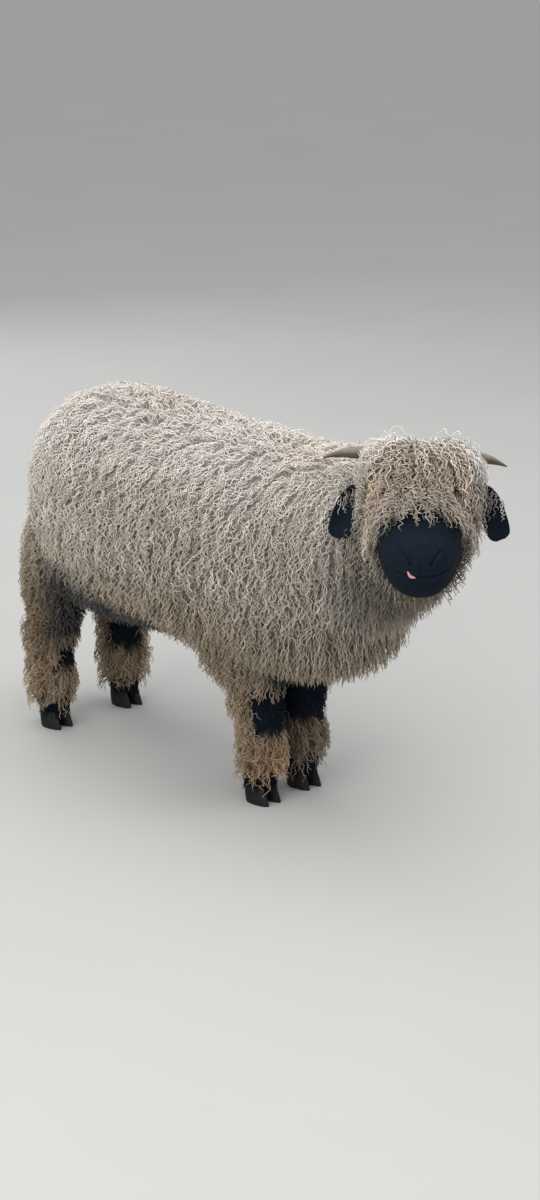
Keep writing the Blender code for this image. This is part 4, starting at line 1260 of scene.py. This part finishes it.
def horn(flank, look):
    """A short curved horn with growth rings, flatter from front to back."""
    out, root = HEAD_SIDE * SIDES[flank], on_side(HORN_ROOT, flank)
    rows = smooth_rows(HORN, 90)
    line, radii = [], []
    for k, row in enumerate(rows):
        droop = HORN_DROOP[flank] * row[0] / HORN_REACH
        line.append(root + out * (row[0] * HORN_LENGTH[flank]) + Z * (row[1] - droop) - FACING * row[2])
        ring = 0.030 * math.sin(k * 1.05 + 0.8 * math.sin(k * 0.21)) * (1 - k / (len(rows) - 1))
        radii.append(row[3] * (1 + ring))
    piece = rope("ridged_horn_" + flank, line, radii, 5)
    places = read(piece.data.vertices, "co", 3)
    owner = np.linalg.norm(places[:, None] - np.array(line)[None], axis=2).argmin(axis=1)
    share = owner / (len(rows) - 1)
    under = np.empty(len(places))
    for n, (vert, k) in enumerate(zip(piece.data.vertices, owner)):
        off = vert.co - line[k]
        under[n] = -off.z / radii[k] + 0.8 * noise.noise(Vector((k * 0.05, off.x * 60, off.z * 60)))
        vert.co = vert.co - FACING * (off.dot(FACING) * HORN_FLATTER)
    # Brown towards the root and on the underside: partly the horn's own brown, partly painted shade on the
    # underside.
    brown = np.maximum(rise(under, -0.65, 0.25) * 0.85, 1 - rise(share, 0.12, 0.50)) * 0.9
    store_tone(piece, blend(blend(HORN_PALE, HORN_TIP, rise(share, 0.72, 1.0)), HORN_BROWN, brown))
    return dress(piece, look)


def eye(flank, look):
    """The eyeball, with the cornea standing a little out of it, and its own Gaze map."""
    piece = ball("eyeball_" + flank, (EYE_RADIUS,) * 3, segments=48)
    mesh = piece.data
    for vert in mesh.vertices:
        vert.co *= 1 + 0.05 * float(rise(vert.co.normalized().z, 0.72, 1.0))
    gaze = mesh.uv_layers.new(name="Gaze")
    for loop in mesh.loops:
        place = mesh.vertices[loop.vertex_index].co
        behind = 0.5 if place.z < 0 else 0.0
        gaze.data[loop.index].uv = [value / EYE_RADIUS / 2 + 0.5 + behind for value in place[:2]]
    return dress(settle(piece, eye_frame(flank)), look)


def tongue(tree, look):
    """The tip of the tongue, pushed out between the lips towards her right."""
    along, brow = MOUTH_CENTRE
    turn = math.asin(TONGUE_SIDE / (MUZZLE_TIP - along))
    way = head_way(math.cos(turn), math.sin(turn), 0.0)
    place = tree.ray_cast(in_head(along, 0.0, brow), way)[0]
    across = (BROW_WAY.cross(way) - BROW_WAY * 0.75).normalized()
    out = (way - across * way.dot(across)).normalized()
    out = (out - across.cross(out) * 0.25).normalized()
    frame = Matrix((across, out, across.cross(out))).transposed().to_4x4()
    frame.translation = place + way * 0.001 + BROW_WAY * 0.004
    piece = ball("tongue_tip", TONGUE_SIZE)
    for vert in piece.data.vertices:
        vert.co.z += 0.0012 * math.cos(vert.co.x * 300) - 0.05 * abs(vert.co.x)
    return dress(settle(piece, frame), look)


def claw(name, half, look):
    """One of a foot's two claws: flat sole, rounded toe, leaning wall."""
    foot_x, foot_y = FEET[name]
    piece = start(f"hoof_{name}_{'inner' if (half > 0) == (foot_x < 0) else 'outer'}",
                  bpy.ops.mesh.primitive_cylinder_add, vertices=36, radius=1.0, depth=2.0,
                  end_fill_type="NGON")
    with editing(piece):
        bpy.ops.mesh.select_all(action="DESELECT")
        bm = bmesh.from_edit_mesh(piece.data)
        walls = [edge for edge in bm.edges if abs(edge.verts[0].co.z - edge.verts[1].co.z) > 1]
        bmesh.ops.subdivide_edges(bm, edges=walls, cuts=9)
        bmesh.update_edit_mesh(piece.data)
    for vert in piece.data.vertices:
        beside, ahead, high = vert.co.x, vert.co.y, (vert.co.z + 1) / 2
        size = np.interp(high, (0, 0.06, 0.45, 1.0), (0.985, 1.0, 0.96, 0.80))
        lean = np.interp(high, (0, 0.45, 1.0), (1.0, 0.55, 0.0))
        size *= 1 + 0.006 * math.sin(high * 34)
        beside *= 1 - 0.28 * ahead
        vert.co = (foot_x + half * (CLEFT + CLAW_HALF_WIDTH * (1 + half * beside * size)),
                   foot_y - (CLAW_LENGTH / 2 * ahead * size + CLAW_TOE * lean), high * CORONET)
    fix_outside(piece)
    edge = piece.modifiers.new("edge", "BEVEL")
    edge.width, edge.segments, edge.limit_method, edge.angle_limit = 0.0012, 2, "ANGLE", math.radians(50)
    apply_all(piece)
    bpy.ops.object.shade_smooth_by_angle(angle=math.radians(40))
    piece.data.materials.append(look)
    return piece


# The studio

CAMERA_TURN, CAMERA_RISE, CAMERA_REACH = math.radians(43.3), math.radians(17.7), 4.95
CAMERA_LENS = 66.0
AIM = Vector((0.206 * math.cos(CAMERA_TURN), -0.206 * math.sin(CAMERA_TURN), 0.361))
LAMP_AIM = Vector((0, -0.3, 0.45))
LAMPS = {                     # place, size, power
    "sky": ((-0.8, -0.8, 4.6), 6.0, 170.0),
    "side": ((-4.5, -1.5, 2.4), 4.0, 130.0),
    "far": ((3.5, -3.0, 2.6), 3.0, 50.0),
    "rear": ((1.5, 4.5, 2.6), 3.0, 50.0),
}


def hang(name, data, place, way):
    """Puts a camera or a lamp in the scene, looking along way."""
    made = bpy.data.objects.new(name, data)
    made.location = place
    made.rotation_euler = way.to_track_quat("-Z", "Y").to_euler()
    bpy.context.scene.collection.objects.link(made)
    return made


def studio(shift):
    scene = bpy.context.scene
    level = math.cos(CAMERA_RISE)
    away = Vector((-math.sin(CAMERA_TURN) * level, -math.cos(CAMERA_TURN) * level, math.sin(CAMERA_RISE)))
    data = bpy.data.cameras.new("camera")
    data.lens, data.sensor_width, data.sensor_fit, data.clip_end = CAMERA_LENS, 36.0, "AUTO", 200.0
    scene.camera = hang("camera", data, AIM + away * CAMERA_REACH + shift, -away)
    for name, (place, size, power) in LAMPS.items():
        lamp = bpy.data.lights.new(name, "AREA")
        lamp.size, lamp.energy, lamp.color = size, power, (1.0, 0.985, 0.96)
        hang(name, lamp, Vector(place) + shift, LAMP_AIM - Vector(place))
    scene.world = bpy.data.worlds.new("studio")
    scene.world.use_nodes = True
    sky = scene.world.node_tree.nodes["Background"].inputs
    sky["Color"].default_value, sky["Strength"].default_value = (0.83, 0.84, 0.86, 1), 0.85
    floor = start("floor", bpy.ops.mesh.primitive_plane_add, size=160.0)
    floor.data.materials.append(floor_finish())
    scene.view_settings.view_transform = "Standard"


def main():
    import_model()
    noise.seed_set(SEED)
    low, high = (Vector(corner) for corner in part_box("eye_right"))
    shift = (low + high) / 2 - on_side(EYE_AT, "right")
    skin = make_skin()
    hide = Hide(skin)
    tone_skin(skin)
    skin.data.materials.clear()
    skin.data.materials.append(hide_finish())
    wool, hair, leather = wool_finish(), hair_finish(), ear_finish()
    pieces = {"fleece": body_fleece(hide, wool) + crown_wool(hide, wool) + tail_wool(hide, wool),
              "leg_wool": leg_wool(hide, wool),
              "black_hair": short_hair(hide, hair) + black_tufts(hide, hair),
              "horn": [], "eye": [], "tongue": [], "hoof": []}
    horn_look, eye_look, hoof_look = horn_finish(), eye_finish(), hoof_finish()
    ears = {}
    for flank in SIDES:
        ears[flank] = ear(flank, leather)
        for node, slot, piece in (("ear", "black_hair", ears[flank]),
                                  ("horn", "horn", horn(flank, horn_look)),
                                  ("eye", "eye", eye(flank, eye_look))):
            pieces[slot].append(piece)
            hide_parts(f"{node}_{flank}")
    pieces["fleece"] += ear_curls(ears, wool)
    pieces["tongue"].append(tongue(hide.tree, tongue_finish()))
    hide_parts("tongue")
    for name in FEET:
        for half in (-1, 1):
            piece = claw(name, half, hoof_look)
            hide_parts(piece.name.replace("hoof_", "claw_"))
            pieces["hoof"].append(piece)
    pieces["black_hair"].append(skin)
    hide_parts("torso", "neck", "head", "tail", *("leg_" + name for name in FEET))
    for slot, group in pieces.items():
        for piece in group:
            piece.data.transform(Matrix.Translation(shift))
            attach(piece, "root")
    studio(shift)


main()
